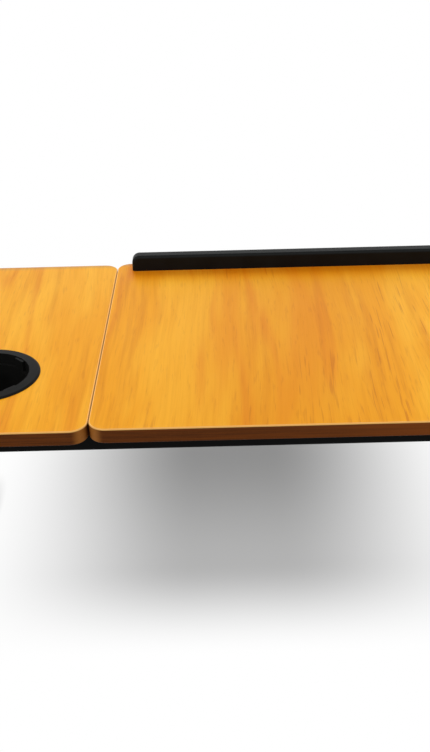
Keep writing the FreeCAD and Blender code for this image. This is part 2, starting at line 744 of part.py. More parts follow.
def rail_end_caps():
    made = body("end_cap")
    flange = sketch(made, "YZ_Plane")
    tube_outline(flange, "0", "rail_round")
    pad(made, flange, "cap_flange", reverse=True)
    fillet(made, "cap_flange / 3", lambda edge: at_level(edge, 0, "-cap_flange"))
    plug = sketch(made, "YZ_Plane")
    tube_outline(plug, "(rail_wall + plug_clearance)", "rail_round - rail_wall")
    pad(made, plug, "cap_plug")
    place(made, "-rail_end", "-rail_y", "rail_bottom")
    group("rail_end_caps", four_corners(made))


# Tilt

def hinges():
    """Two butt hinges: frame leaves on the far rail, panel leaves under the board, and their pins."""
    frame_leaves, panel_leaves, pins = [], [], []
    leaf_y = "hinge_y - knuckle_radius"
    for offset in HINGES:
        start = f"main_middle + {offset} - leaf_length / 2"
        inner = f"{start} + leaf_segment + side_clearance"
        outer = f"{start} + leaf_length - leaf_segment"
        bore = ["hinge_pin + pin_clearance", "leaf_length", start, "hinge_y", "hinge_z", ALONG_X]
        screw_spots = [f"main_middle + {x}" for x in LEAF_SCREWS if x.startswith(f"{offset} ")]

        leaf = block("leaf", "leaf_length", "leaf_thick", "leaf_drop", start, leaf_y, "hinge_z - leaf_drop")
        rolls = [cylinder("roll", "knuckle_radius", "leaf_segment", x, "hinge_y", "hinge_z", ALONG_X)
                 for x in (start, outer)]
        room = block("room", "leaf_segment + 2 * side_clearance", "2 * knuckle_radius", "leaf_drop",
                     f"{start} + leaf_segment", leaf_y, "hinge_z - knuckle_radius - side_clearance")
        holes = [cylinder("hole", SCREW_HOLE, "leaf_thick", x, leaf_y, "leaf_screw_z", ALONG_Y)
                 for x in screw_spots]
        solid = fuse("frame_leaf_blank", [leaf] + rolls)
        frame_leaves.append(cut("frame_leaf", solid, [cylinder("bore", *bore), room] + holes))

        leaf = block("leaf", "leaf_length", "leaf_reach", "leaf_thick", start, "hinge_y - leaf_reach",
                     "panel_bottom - leaf_thick")
        roll = cylinder("roll", "knuckle_radius", "leaf_segment", inner, "hinge_y", "hinge_z", ALONG_X)
        rooms = [block("room", "leaf_segment + side_clearance", "2 * knuckle_radius", "2 * knuckle_radius", x,
                       f"{leaf_y} - side_clearance", "hinge_z - knuckle_radius / 2")
                 for x in (start, f"{outer} - side_clearance")]
        holes = [cylinder("hole", SCREW_HOLE, "leaf_thick", x, "leaf_screw_y", "panel_bottom - leaf_thick")
                 for x in screw_spots]
        solid = fuse("panel_leaf_blank", [leaf, roll])
        panel_leaves.append(cut("panel_leaf", solid, [cylinder("bore", *bore)] + rooms + holes))
        pins.append(cylinder("pin", "hinge_pin", *bore[1:]))
    group("frame_hinge_leaves", frame_leaves)
    group("panel_hinge_leaves", panel_leaves)
    group("hinge_pins", pins)
    frame_screws = []
    panel_screws = []
    for x in LEAF_SCREWS:
        frame_screws.append(screw("frame_leaf_screw", "screw_bite", f"main_middle + {x}",
                                  f"{leaf_y} + leaf_thick", "leaf_screw_z", TOWARDS_NEAR))
        panel_screws.append(screw("panel_leaf_screw", "leaf_thick + screw_bite", f"main_middle + {x}",
                                  "leaf_screw_y", "panel_bottom - leaf_thick"))
    group("frame_hinge_screws", frame_screws)
    group("panel_hinge_screws", panel_screws)


def panel_bumpers():
    """Rubber buttons on the near rail, on which the main panel lies when it is flat."""
    buttons = []
    for x in ("bumper_inset - main_width / 2", "0", "main_width / 2 - bumper_inset"):
        made = doc.addObject("Part::Cone", "bumper")
        made.setExpression("Radius1", formula("bumper_radius"))
        made.setExpression("Radius2", formula("bumper_radius - panel_lift / 2"))
        made.setExpression("Height", formula("panel_lift"))
        buttons.append(place(made, f"main_middle + {x}", "-rail_y", "rail_top"))
    group("panel_bumpers", buttons)


def tilt_rack(label, face, side):
    """A block on the side of a crossbar, with a landing for the prop's foot and a row of round notches."""
    made = body(label)
    front = sketch(made, "YZ_Plane")
    rectangle(front, "-rack_margin", "rack_length - rack_margin", "0", "rack_height")
    pad(made, front, "rack_thick", reverse=side < 0)
    notch = sketch(made, "YZ_Plane")
    round_bottom = "(rod_radius + side_clearance)"
    circle(notch, round_bottom, "notch_pitch", f"rack_height - notch_depth + {round_bottom}")
    first = pocket(made, notch, "rack_thick", reverse=side > 0)
    pattern(made, first, "LinearPattern", (notch, ["H_Axis"]), "notch_count",
            Length="notch_pitch * (notch_count - 1)")
    drill(made, "YZ_Plane", SCREW_HOLE, RACK_SCREWS, "rack_thick", reverse=side > 0)
    node(place(made, face, "foot_y", "rail_bottom"))
    turn = FreeCAD.Rotation(FreeCAD.Vector(0, 1, 0), -90 * side)
    seat = f"{face} + {side} * rack_thick"
    length = "rack_thick + screw_bite"
    spots = [(f"foot_y + {y}", f"rail_bottom + {z}") for y, z in RACK_SCREWS]
    return [screw("rack_screw", length, seat, y, z, turn) for y, z in spots]


def prop_saddles():
    """Clips under the main panel in which the prop turns."""
    saddles, screws = [], []
    half_boss = "(rod_radius + saddle_wall)"
    for x in SADDLES:
        made = body("saddle")
        end = sketch(made, "YZ_Plane")
        outline(end, [
            ("-saddle_width / 2", "-saddle_flange"),
            (f"-{half_boss}", "-saddle_flange"),
            (f"-{half_boss}", f"-prop_drop - {half_boss}"),
            (half_boss, f"-prop_drop - {half_boss}"),
            (half_boss, "-saddle_flange"),
            ("saddle_width / 2", "-saddle_flange"),
            ("saddle_width / 2", "0"),
            ("-saddle_width / 2", "0"),
        ])
        pad(made, end, "saddle_length", midplane=True)
        lowest = f"-prop_drop - {half_boss}"
        fillet(made, "saddle_round", lambda edge: runs_along(edge, 0) and at_level(edge, 2, lowest))
        bore = sketch(made, "YZ_Plane")
        circle(bore, "rod_radius + pin_clearance", "0", "-prop_drop")
        pocket(made, bore, "saddle_length", midplane=True)
        drill(made, "XY_Plane", SCREW_HOLE, [("0", y) for y in SADDLE_SCREWS], "saddle_flange")
        saddles.append(place(made, x, "prop_y", "panel_bottom"))
        for y in SADDLE_SCREWS:
            screws.append(screw("saddle_screw", "saddle_flange + screw_bite", x, f"prop_y + {y}",
                                "panel_bottom - saddle_flange"))
    group("prop_saddles", saddles)
    group("saddle_screws", screws)


def tilt_prop():
    """One rod: a bar in the saddles, two arms, and feet turned out over the racks."""
    made = body("tilt_prop")
    left_tip = "seam_bar_face + rack_thick - foot_reach"
    right_tip = "end_bar_face - rack_thick + foot_reach"
    path = sketch(made, "XY_Plane")
    bent_line(path, [
        (left_tip, "foot_y"),
        ("prop_left", "foot_y"),
        ("prop_left", "prop_y"),
        ("prop_right", "prop_y"),
        ("prop_right", "foot_y"),
        (right_tip, "foot_y"),
    ], "rod_bend")
    section = sketch(made, "YZ_Plane", left_tip)
    circle(section, "rod_radius", "foot_y", "0")
    pipe(made, path, section)
    node(place(made, "0", "0", "hinge_z"))


# Legs: the near left corner is modelled, and the others are its mirror images

def at_pivot(piece):
    return place(piece, "-pivot_x", "-rail_y", "pivot_z")


def leg_bracket():
    """A moulded fork under the rail's end, closed towards the table's end, where the leg comes to a stop."""
    made = body("bracket")
    back = "(outer_radius + side_clearance)"
    front = "(outer_radius + inner_ear / 2)"
    ear = sketch(made, "XZ_Plane", "-(ear_face + inner_ear)")
    outline(ear, [
        (f"-{back} - bracket_back", "leg_drop"),
        (f"-{back} - bracket_back", "-bracket_nose"),
        (front, "-bracket_nose"),
        (front, "0"),
        ("bracket_reach", "leg_drop - 2 * bracket_plate"),
        ("bracket_reach", "leg_drop"),
    ])
    pad(made, ear, "2 * ear_face + inner_ear + outer_ear")
    fillet(made, "bracket_round", lambda edge: runs_along(edge, 1) and at_level(edge, 2, "-bracket_nose"))

    def moulded_edge(edge):
        on_a_side = at_level(edge, 1, "-outer_face") or at_level(edge, 1, "ear_face + inner_ear")
        return on_a_side and not at_level(edge, 2, "leg_drop")

    fillet(made, "bracket_edge", moulded_edge)
    fork = sketch(made, "XZ_Plane")
    rectangle(fork, f"-{back}", "2 * bracket_reach", "-2 * bracket_nose", "leg_drop - bracket_plate")
    pocket(made, fork, "2 * ear_face", midplane=True)
    pin = sketch(made, "XZ_Plane")
    circle(pin, "hub_pin + screw_clearance")
    pocket(made, pin, "2 * (outer_face + inner_ear)", midplane=True)
    well = "button_radius + side_clearance"
    drill(made, "XZ_Plane", well, [("0", "0")], "button_well", offset="outer_face")
    bolts = [(x, "0") for x in BRACKET_BOLTS]
    drill(made, "XY_Plane", SCREW_HOLE, bolts, "bracket_plate", offset="leg_drop")
    drill(made, "XY_Plane", HEAD_HOLE, bolts, HEAD_RECESS, offset="leg_drop - bracket_plate", reverse=True)
    corner_nodes(at_pivot(made), "leg_bracket")
    fixings = []
    for x in BRACKET_BOLTS:
        seat = f"rail_bottom - bracket_plate + {HEAD_RECESS}"
        length = f"bracket_plate - {HEAD_RECESS} + screw_bite"
        fixings += four_corners(screw("bracket_bolt", length, f"{x} - pivot_x", "-rail_y", seat))
    group("bracket_bolts", fixings)


def leg_pivot_pins():
    start = "-rail_y - outer_face + button_well"
    end = "-rail_y + ear_face + inner_ear"
    shank = cylinder("shank", "hub_pin", f"{end} - ({start})", "-pivot_x", start, "pivot_z", ALONG_Y)
    head = cylinder("head", "pin_head", "pin_head_thick", "-pivot_x", end, "pivot_z", ALONG_Y)
    group("leg_pivot_pins", four_corners(fuse("pivot_pin", [shank, head])))


def fold_buttons():
    """Push buttons with a dished face, one in each bracket's well."""
    made = body("button")
    half = sketch(made, "XY_Plane")
    face = "-(outer_face + button_stand)"
    outline(half, [
        ("0", f"{face} + button_dish"),
        ("button_radius - button_rim", face),
        ("button_radius", face),
        ("button_radius", f"{face} + button_length"),
        ("0", f"{face} + button_length"),
    ])
    revolve(made, half, "V_Axis")
    inside_rim = number("button_radius - button_rim / 2")
    fillet(made, "button_round", lambda edge: at_level(edge, 1, face) and edge.Curve.Radius > inside_rim)
    corner_nodes(at_pivot(made), "fold_button")


def leg_knuckle():
    """The leg's upper end: a hub on the pivot pin, and a plug in the outer tube."""
    made = body("knuckle")
    hub = sketch(made, "XZ_Plane")
    circle(hub, "outer_radius")
    pad(made, hub, "hub_width", midplane=True)
    neck = sketch(made, "XY_Plane")
    circle(neck, "outer_radius - neck_trim")
    pad(made, neck, "shoulder_drop", reverse=True)
    plug = sketch(made, "XY_Plane", "-shoulder_drop")
    circle(plug, "outer_bore - plug_clearance")
    pad(made, plug, "plug_length", reverse=True)
    bore = sketch(made, "XZ_Plane")
    circle(bore, "hub_pin + pin_clearance")
    pocket(made, bore, "hub_width", midplane=True)
    leg_pair(at_pivot(made), "leg_knuckles")


def outer_tube():
    made = body("outer_tube")
    section = sketch(made, "XY_Plane")
    circle(section, "outer_radius")
    circle(section, "outer_bore")
    pad(made, section, "outer_length")
    leg_pair(place(made, "-pivot_x", "-rail_y", "tube_end"), "outer_tubes")


def clamp_collar():
    """A split collar on the outer tube's end, with lugs for its lever and a socket for the spreader."""
    made = body("collar")
    ring = sketch(made, "XY_Plane")
    circle(ring, "collar_radius")
    pad(made, ring, "collar_height")
    arm = sketch(made, "XY_Plane")
    rectangle(arm, "-lug_radius", "lug_radius", "-lever_reach", "0")
    pad(made, arm, "collar_height")
    lug = sketch(made, "XY_Plane")
    circle(lug, "lug_radius", "0", "-lever_reach")
    pad(made, lug, "collar_height")
    socket = sketch(made, "XZ_Plane")
    circle(socket, "socket_radius", "0", "collar_height / 2")
    pad(made, socket, "socket_reach", reverse=True)
    room = sketch(made, "XY_Plane", "lug_height")
    rectangle(room, "-2 * lug_radius", "2 * lug_radius", "-lever_reach - 2 * lug_radius", "-collar_radius")
    pocket(made, room, "collar_height - 2 * lug_height", reverse=True)
    on_axis, on_lugs = [("0", "0")], [("0", "-lever_reach")]
    above_lip = "collar_height - lip_height"
    seat = "outer_radius + plug_clearance"
    drill(made, "XY_Plane", "inner_radius + slide_clearance", on_axis, "collar_height", reverse=True)
    drill(made, "XY_Plane", seat, on_axis, above_lip, offset="lip_height", reverse=True)
    drill(made, "XY_Plane", "lever_pin + screw_clearance", on_lugs, "collar_height", reverse=True)
    drill(made, "XZ_Plane", "spreader_radius + plug_clearance", [("0", "collar_height / 2")], "socket_depth",
          offset="-socket_reach", reverse=True)
    slit = sketch(made, "XY_Plane", "lip_height")
    rectangle(slit, "-2 * collar_radius", "0", "-slit_width / 2", "slit_width / 2")
    pocket(made, slit, above_lip, reverse=True)
    leg_pair(place(made, "-pivot_x", "-rail_y", "collar_bottom"), "clamp_collars")
    pin_y = "-rail_y - lever_reach"
    pin = cylinder("lever_pin", "lever_pin", "collar_height", "-pivot_x", pin_y, "collar_bottom")
    leg_pair(pin, "lever_pins")


def clamp_levers():
    """A lever that wraps the shut collar, with a barrel on its pin and a thumb bead on its tail."""
    made = body("lever")
    height = "collar_height - 2 * lug_height - 2 * side_clearance"
    band = sketch(made, "XY_Plane")
    tail = FreeCAD.Vector(number("cos(lever_tail)"), number("sin(lever_tail)"), 0)
    root = FreeCAD.Vector(0, -1, 0)
    arcs = []
    for radius in ("lever_inside", "lever_outside"):
        ring = Part.Circle(ORIGIN, UP, number(radius))
        arc = Part.ArcOfCircle(ring, ring.parameter(tail), ring.parameter(root))
        item = band.addGeometry(arc, False)
        band.addConstraint(Sketcher.Constraint("Coincident", item, 3, -1, 1))
        bind(band, "Radius", item, rule=radius)
        bind(band, "DistanceX", -1, 1, item, 1, rule=f"({radius}) * cos(lever_tail)")
        bind(band, "DistanceX", -1, 1, item, 2, rule="0")
        arcs.append((item, number(radius)))
    (inner, inside), (outer, outside) = arcs
    for end, way in ((1, tail), (2, root)):
        side = band.addGeometry(Part.LineSegment(way * inside, way * outside), False)
        band.addConstraint(Sketcher.Constraint("Coincident", side, 1, inner, end))
        band.addConstraint(Sketcher.Constraint("Coincident", side, 2, outer, end))
    pad(made, band, height)
    barrel = sketch(made, "XY_Plane")
    circle(barrel, "lever_reach - lever_inside + screw_clearance", "0", "-lever_reach")
    pad(made, barrel, height)
    bead = sketch(made, "XY_Plane")
    circle(bead, "lever_bead", "lever_outside * cos(lever_tail)", "lever_outside * sin(lever_tail)")
    pad(made, bead, height)
    drill(made, "XY_Plane", "lever_pin + pin_clearance", [("0", "-lever_reach")], height, reverse=True)
    place(made, "-pivot_x", "-rail_y", "collar_bottom + lug_height + side_clearance")
    corner_nodes(made, "clamp_lever")


def spreader():
    """A tube between the two collars of a leg."""
    made = body("left_spreader")
    section = sketch(made, "XZ_Plane")
    circle(section, "spreader_radius")
    circle(section, "spreader_radius - spreader_wall")
    pad(made, section, "2 * (rail_y - socket_reach + socket_depth - side_clearance)", midplane=True)
    node(place(made, "-pivot_x", "0", "collar_bottom + collar_height / 2"))
    node(mirrored("right_spreader", made, "x"))


def inner_leg():
    """One tube bent to a U: two uprights that slide in the outer tubes, and a bar on the feet."""
    made = body("left_inner_leg")
    path = sketch(made, "YZ_Plane")
    bent_line(path, [
        ("-rail_y", "bush_bottom"),
        ("-rail_y", "leg_bar_z"),
        ("rail_y", "leg_bar_z"),
        ("rail_y", "bush_bottom"),
    ], "leg_bend")
    section = sketch(made, "XY_Plane", "bush_bottom")
    circle(section, "inner_radius", "0", "-rail_y")
    circle(section, "inner_bore", "0", "-rail_y")
    pipe(made, path, section)
    node(place(made, "-pivot_x"))
    node(mirrored("right_inner_leg", made, "x"))


def glide_bush():
    """A nylon plug in the inner leg's upper end, whose flange runs in the outer tube."""
    made = body("bush")
    flange = sketch(made, "XY_Plane")
    circle(flange, "outer_bore - plug_clearance")
    pad(made, flange, "bush_flange")
    plug = sketch(made, "XY_Plane")
    circle(plug, "inner_bore - plug_clearance")
    pad(made, plug, "bush_plug", reverse=True)
    leg_pair(place(made, "-pivot_x", "-rail_y", "bush_bottom"), "glide_bushes")


def foot_pad():
    """A rubber foot round the leg's bar, with a flat sole and a round crown."""
    made = body("foot_pad")
    end = sketch(made, "XZ_Plane")
    arch(end, "pad_radius", "leg_bar_z")
    pad(made, end, "pad_length", midplane=True)
    half = "pad_length / 2"
    fillet(made, "pad_round", lambda edge: at_level(edge, 1, half) or at_level(edge, 1, f"-{half}"))
    bore = sketch(made, "XZ_Plane")
    circle(bore, "inner_radius + plug_clearance", "0", "leg_bar_z")
    pocket(made, bore, "pad_length", midplane=True)
    leg_pair(place(made, "-pivot_x", "-pad_spread"), "foot_pads")


rail("near_rail", "-")
rail("far_rail", "")
crossbar("left_crossbar", "-end_bar_x")
crossbar("seam_crossbar", "seam_middle", rack_side=1)
crossbar("right_crossbar", "end_bar_x", rack_side=-1)
rail_end_caps()
side_panel()
cup_holder()
main_panel()
stop_bar()
hinges()
panel_bumpers()
rack_screws = tilt_rack("left_tilt_rack", "seam_bar_face", 1)
rack_screws += tilt_rack("right_tilt_rack", "end_bar_face", -1)
group("rack_screws", rack_screws)
prop_saddles()
tilt_prop()
leg_bracket()
leg_pivot_pins()
fold_buttons()
leg_knuckle()
outer_tube()
clamp_collar()
clamp_levers()
spreader()
inner_leg()
glide_bush()
foot_pad()

# Every object has to be sound before a sub-part is written
doc.recompute()
for item in doc.Objects:
    if "Invalid" in item.State or "Error" in item.State:
        raise RuntimeError(f"{item.Label} failed: {item.State}")
for piece in nodes:
    if piece.Shape.isNull() or not piece.Shape.isValid() or not piece.Shape.Solids:
        raise RuntimeError(f"{piece.Label} is not a sound solid")
os.makedirs("parts", exist_ok=True)
for piece in nodes:
    piece.Shape.exportStep(f"parts/{piece.Label}.step")
print(f"{len(nodes)} sub-parts, {sum(len(piece.Shape.Solids) for piece in nodes)} solids")
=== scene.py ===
# %% [markdown]
# # A folding laptop table
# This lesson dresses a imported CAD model: two wood-grain panels on a black tube frame, with legs that fold and
# telescope. Every solid arrives in metres, in one shared frame: +X runs along the table, +Y points to the
# side with the stop bar, and the floor is z = 0. We never move the solids. We give them finishes, and we add
# the small pieces that a drawing leaves to the workshop: cross-head screws, weld beads, thumb grips and
# treaded feet.

# %% Load the table
import math

import bpy
import numpy as np
from mathutils import Matrix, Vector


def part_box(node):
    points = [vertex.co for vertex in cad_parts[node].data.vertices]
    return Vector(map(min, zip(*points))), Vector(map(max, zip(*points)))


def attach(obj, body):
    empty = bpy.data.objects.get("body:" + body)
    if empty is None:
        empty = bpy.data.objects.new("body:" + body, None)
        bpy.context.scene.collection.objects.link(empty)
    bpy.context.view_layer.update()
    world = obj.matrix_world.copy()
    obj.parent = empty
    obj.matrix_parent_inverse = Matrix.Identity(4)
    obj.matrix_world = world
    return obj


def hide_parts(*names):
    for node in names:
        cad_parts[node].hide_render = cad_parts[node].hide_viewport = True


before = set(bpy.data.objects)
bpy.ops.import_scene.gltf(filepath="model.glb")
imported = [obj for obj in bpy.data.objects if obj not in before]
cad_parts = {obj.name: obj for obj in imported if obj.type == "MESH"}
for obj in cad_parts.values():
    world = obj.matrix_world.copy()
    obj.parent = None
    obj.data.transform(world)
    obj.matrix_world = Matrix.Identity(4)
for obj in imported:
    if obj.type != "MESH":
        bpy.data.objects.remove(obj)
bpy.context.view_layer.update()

MM = 0.001

# %% [markdown]
# ## The camera
# A camera can be placed by eye, or solved from straight edges whose directions are known. The panel edges are
# such lines: where they meet gives the tilt of the view, and their spread gives the focal length. The solved
# camera stands in front of the near edge, looks down at a slope, and leans a little to one side, so the table
# climbs to the right.

# %% Place the camera
FOCAL_PIXELS, TALL_SIDE_PIXELS, SENSOR = 970, 752, 36
LOOK_DOWN, LEAN = math.radians(28.8), math.radians(-1.43)
CAMERA_AT = (-0.013, -0.789, 0.638)

camera_data = bpy.data.cameras.new("table_camera")
camera_data.sensor_fit = "VERTICAL"
camera_data.sensor_height = SENSOR
camera_data.lens = FOCAL_PIXELS * SENSOR / TALL_SIDE_PIXELS
camera_data.clip_start = 0.01
camera = bpy.data.objects.new("table_camera", camera_data)
turn = Matrix.Rotation(math.pi / 2 - LOOK_DOWN, 4, "X") @ Matrix.Rotation(LEAN, 4, "Z")
camera.matrix_world = Matrix.Translation(CAMERA_AT) @ turn
bpy.context.scene.collection.objects.link(camera)
bpy.context.scene.camera = camera
print("lens", round(camera_data.lens, 2), "mm")

# %% [markdown]
# ## Writing shaders as sums
# Shader nodes can be wired by hand, but a pattern is easier to read as arithmetic. `Socket` wraps one output
# of a node: adding two sockets adds a Math node. `Finish` owns a material and has one method for every other
# kind of node, so a wood grain fits in a few lines. Numbers that don't vary are worked out in Python and set
# on the shader itself.

# %% Sockets that add up
class Socket:
    """A node's output that can stand in a sum with numbers and with other outputs."""

    def __init__(self, finish, output):
        self.finish = finish
        self.output = output

    def math(self, operation, *values):
        return self.finish.add("ShaderNodeMath", {"operation": operation}, dict(enumerate(values)))

    def __add__(self, other):
        return self.math("ADD", self, other)

    def __sub__(self, other):
        return self.math("SUBTRACT", self, other)

    def __rsub__(self, other):
        return self.math("SUBTRACT", other, self)

    def __mul__(self, other):
        return self.math("MULTIPLY", self, other)

    def __gt__(self, other):
        return self.math("GREATER_THAN", self, other)

    def __lt__(self, other):
        return self.math("LESS_THAN", self, other)

    def __abs__(self):
        return self.math("ABSOLUTE", self)

    __radd__, __rmul__ = __add__, __mul__


def linear(red, green, blue):
    """A colour as a screen shows it, 0 to 255, turned into the light that it stands for."""
    screen = np.array([red, green, blue]) / 255
    light = np.where(screen <= 0.04045, screen / 12.92, ((screen + 0.055) / 1.055) ** 2.4)
    return (*light.tolist(), 1.0)


def palette(**screens):
    """Named colours, given as a screen shows them."""
    return {name: linear(*screen) for name, screen in screens.items()}


class Nodes:
    """A node tree with a short way to add nodes to it."""

    def __init__(self, tree):
        self.tree = tree

    def set(self, socket, value):
        """Gives a socket a number, a colour or a link."""
        if isinstance(value, Socket):
            self.tree.links.new(value.output, socket)
        else:
            socket.default_value = value

    def add(self, kind, settings=None, sockets=None, out=0):
        """Any node: its type, its settings, then the values or links of its sockets."""
        node = self.tree.nodes.new(kind)
        for name, value in (settings or {}).items():
            setattr(node, name, value)
        for name, value in (sockets or {}).items():
            self.set(node.inputs[name], value)
        return Socket(self, node.outputs[out])

    def place(self):
        return self.add("ShaderNodeTexCoord", out="Object")

    def axis(self, index):
        """The place along one axis, 0 to 2, in metres."""
        return self.add("ShaderNodeSeparateXYZ", None, {"Vector": self.place()}, out=index)

    def seen(self):
        """One for what the eye sees, straight or in a reflection, and nought for light on its way to the table."""
        direct = self.add("ShaderNodeLightPath", out="Is Camera Ray")
        mirrored = self.add("ShaderNodeLightPath", out="Is Glossy Ray")
        through = self.add("ShaderNodeLightPath", out="Is Transmission Ray")
        return (direct + mirrored + through) > 0.5

    def stretched(self, scale):
        """The place on the piece, with each axis squeezed or drawn out."""
        return self.add("ShaderNodeMapping", None, {"Vector": self.place(), "Scale": scale})

    def noise(self, vector, scale, detail=2.0, rough=0.5):
        sockets = {"Vector": vector, "Scale": scale, "Detail": detail, "Roughness": rough}
        return self.add("ShaderNodeTexNoise", None, sockets)

    def between(self, value, low, high):
        """Nought below the first number, one above the second, and smooth between them."""
        sockets = {"Value": value, 1: low, 2: high}
        return self.add("ShaderNodeMapRange", {"interpolation_type": "SMOOTHSTEP"}, sockets)

    def mix(self, share, first, second):
        return self.add("ShaderNodeMix", {"data_type": "RGBA"}, {0: share, 6: first, 7: second}, out=2)

    def bump(self, height, strength, distance):
        return self.add("ShaderNodeBump", None, {"Height": height, "Strength": strength, "Distance": distance})


class Finish(Nodes):
    """A material with one principled shader."""

    def __init__(self, name, **constants):
        self.material = bpy.data.materials.new(name)
        self.material.use_nodes = True
        super().__init__(self.material.node_tree)
        self.shader = self.tree.nodes["Principled BSDF"]
        self.feed(**constants)

    def feed(self, **inputs):
        """Sets the shader's sockets to numbers, or links them to what varies over the surface."""
        for name, value in inputs.items():
            self.set(self.shader.inputs[name.replace("_", " ")], value)
        return self.material


def dress(material, *names):
    """Puts a finish on the solids with these names."""
    for name in names:
        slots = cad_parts[name].data.materials
        slots.clear()
        slots.append(material)
    print(material.name, "on", len(names), "solids")


# %% [markdown]
# ## Honey laminate
# The panel tops are a printed wood film pressed on board: satin, warm, with grain from front to back. A
# photograph of wood would do, but it tiles and can't be scaled. Noise drawn out along Y makes the same figure
# in layers, and its third coordinate picks another sheet of film for each panel, so the figure doesn't run
# across the seam. There are soft bands, streaks inside them, and fine fibres. The long reddish veins are
# where a broad noise passes its middle value, like the contour lines of a map. A darker zone of heartwood
# runs through the main panel; it is the distance from a slanting line, made ragged by noise. The hair-thin
# dark dashes are the peaks of one more noise, so fine across the grain that a peak is half a millimetre wide,
# and a coarse noise gathers them into groups, as in a real board. Last come two painted shades: the film is
# painted redder along the foot of the stop bar, as the shade that the bar casts, and greyer along the far
# edge, as shade there.

# %% Laminate finish
BACKING_TOP, SIDE_SHEET, MAIN_SHEET = 0.2391, 13.7, 0.5
SWAY_WAVES, SWAY_WIDTH = (5.0, 1.8, 1.0), 0.05
HEART_AT, HEART_SLANT = 0.055, 0.12
HEART_HALF, HEART_REACH, HEART_RAGGED = 0.015, 0.150, 0.08
# How far the painted shade reaches in front of the stop bar and where it stops past the bar's ends, then how far
# the painted shade reaches in from the far edge.
VEIN_HALF, BAR_SHADE_REACH, BAR_SHADE_ENDS, FAR_SHADE_REACH = 0.046, 0.036, (-0.002, 0.008), 0.010
# Waves per metre across the grain and along it, then the detail and the roughness of the noise.
GRAINS = {
    "heart": (16.0, 2.0, 2.0, 0.50), "veins": (15.0, 1.3, 2.0, 0.45), "bands": (24.0, 3.2, 3.0, 0.55),
    "streaks": (105.0, 3.6, 4.0, 0.62), "groups": (12.0, 5.0, 2.0, 0.50), "dashes": (560.0, 20.0, 1.0, 0.50),
    "fibres": (900.0, 16.0, 2.0, 0.60), "pores": (620.0, 45.0, 1.0, 0.50),
}
# Where a layer starts to show in its noise, and where it is at its strongest.
PEAKS = {"bands": (0.38, 0.62), "streaks": (0.44, 0.74), "groups": (0.46, 0.66), "dashes": (0.60, 0.72),
         "fibres": (0.40, 0.75), "pores": (0.60, 0.74)}
# The tone for the foot of the stop bar and the greyish tone for the far edge are painted shade, not colours of the
# wood.
WOOD = palette(
    pale=(255, 185, 44), honey=(246, 166, 23), heartwood=(224, 141, 5), vein=(227, 124, 4), amber=(220, 134, 3),
    dark=(172, 60, 0), grimy=(236, 106, 2), rubbed=(160, 134, 108), board=(92, 84, 74), chip=(112, 102, 90))


def laminate():
    """Layers of drawn-out noise, each mixing one more tone into the wood by its share."""
    finish = Finish("honey_laminate", Specular_IOR_Level=0.10)
    sway = finish.noise(finish.stretched(SWAY_WAVES), 1.0)
    across = finish.axis(0) + (sway - 0.5) * SWAY_WIDTH
    along = finish.axis(1)
    sheet = SIDE_SHEET + (finish.axis(0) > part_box("main_board")[0].x) * (MAIN_SHEET - SIDE_SHEET)

    def grain(layer):
        """A layer's noise, drawn out along the grain."""
        per_metre, lengthwise, detail, rough = GRAINS[layer]
        places = {0: across * per_metre, 1: along * lengthwise, 2: sheet}
        return finish.noise(finish.add("ShaderNodeCombineXYZ", None, places), 1.0, detail, rough)

    def peaks(layer):
        return finish.between(grain(layer), *PEAKS[layer])

    from_heart = abs(across - along * HEART_SLANT - HEART_AT) + (grain("heart") - 0.5) * HEART_RAGGED
    heart = 1 - finish.between(from_heart, HEART_HALF, HEART_REACH)
    veins = 1 - finish.between(abs(grain("veins") - 0.5), 0.0, VEIN_HALF)
    bands, streaks, pores, fibres = peaks("bands"), peaks("streaks"), peaks("pores"), grain("fibres")
    # Painted shade in a band in front of the stop bar, stopping past the bar's ends.
    bar_low, bar_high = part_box("stop_bar")
    past_end = abs(finish.axis(0) - (bar_low.x + bar_high.x) / 2) - (bar_high.x - bar_low.x) / 2
    foot = finish.between(along, bar_low.y - BAR_SHADE_REACH, bar_low.y)
    painted_bar_shade = foot * (1 - finish.between(past_end, *BAR_SHADE_ENDS))
    # Painted shade along the far edge of the panels.
    far_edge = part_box("side_board")[1].y
    far_edge_shade = finish.between(along, far_edge - FAR_SHADE_REACH, far_edge)
    shares = [
        (bands, "honey"),
        (heart * 0.42, "heartwood"),
        (veins * (0.30 + streaks * 0.35), "vein"),
        (streaks * (0.18 + bands * 0.42), "amber"),
        (finish.between(fibres, *PEAKS["fibres"]) * 0.22, "amber"),
        (pores * 0.14, "dark"),
        (peaks("dashes") * peaks("groups") * 0.38, "dark"),
        # Painted shade: redder in front of the stop bar, then greyer along the far edge.
        (painted_bar_shade * (0.25 + fibres * 0.5), "grimy"),
        (far_edge_shade * (0.25 + fibres * 0.3), "rubbed"),
    ]
    tone = WOOD["pale"]
    for share, tint in shares:
        tone = finish.mix(share, tone, WOOD[tint])
    backing = finish.mix(fibres, WOOD["board"], WOOD["chip"])
    tone = finish.mix(finish.axis(2) < BACKING_TOP, tone, backing)
    normal = finish.bump(fibres - pores * 0.6, 0.10, 0.2 * MM)
    return finish.feed(Base_Color=tone, Roughness=0.34 + fibres * 0.12, Normal=normal)


dress(laminate(), "side_board", "main_board")

# %% [markdown]
# ## Edge band with a pale rim
# A dark brown strip is glued round each board, and its edges are trimmed round, which bares a thin pale line.
# Two pieces could carry the two colours, but the line is about a millimetre high, so the height on the piece
# picks the colour: above the start of the round it is pale. The strip is painted paler on the arcs of the
# corners, a painted highlight where the curve catches the light. Along the table the brown turns lighter
# towards the right end, and the pale line is painted darker on the far side, a painted shade. The panels
# differ in height and outline, so each gets its own finish.

# %% Edge band finish
RIM, RIM_WAVER, CORNER_ROUND = 1.3 * MM, 0.1 * MM, 14.0 * MM
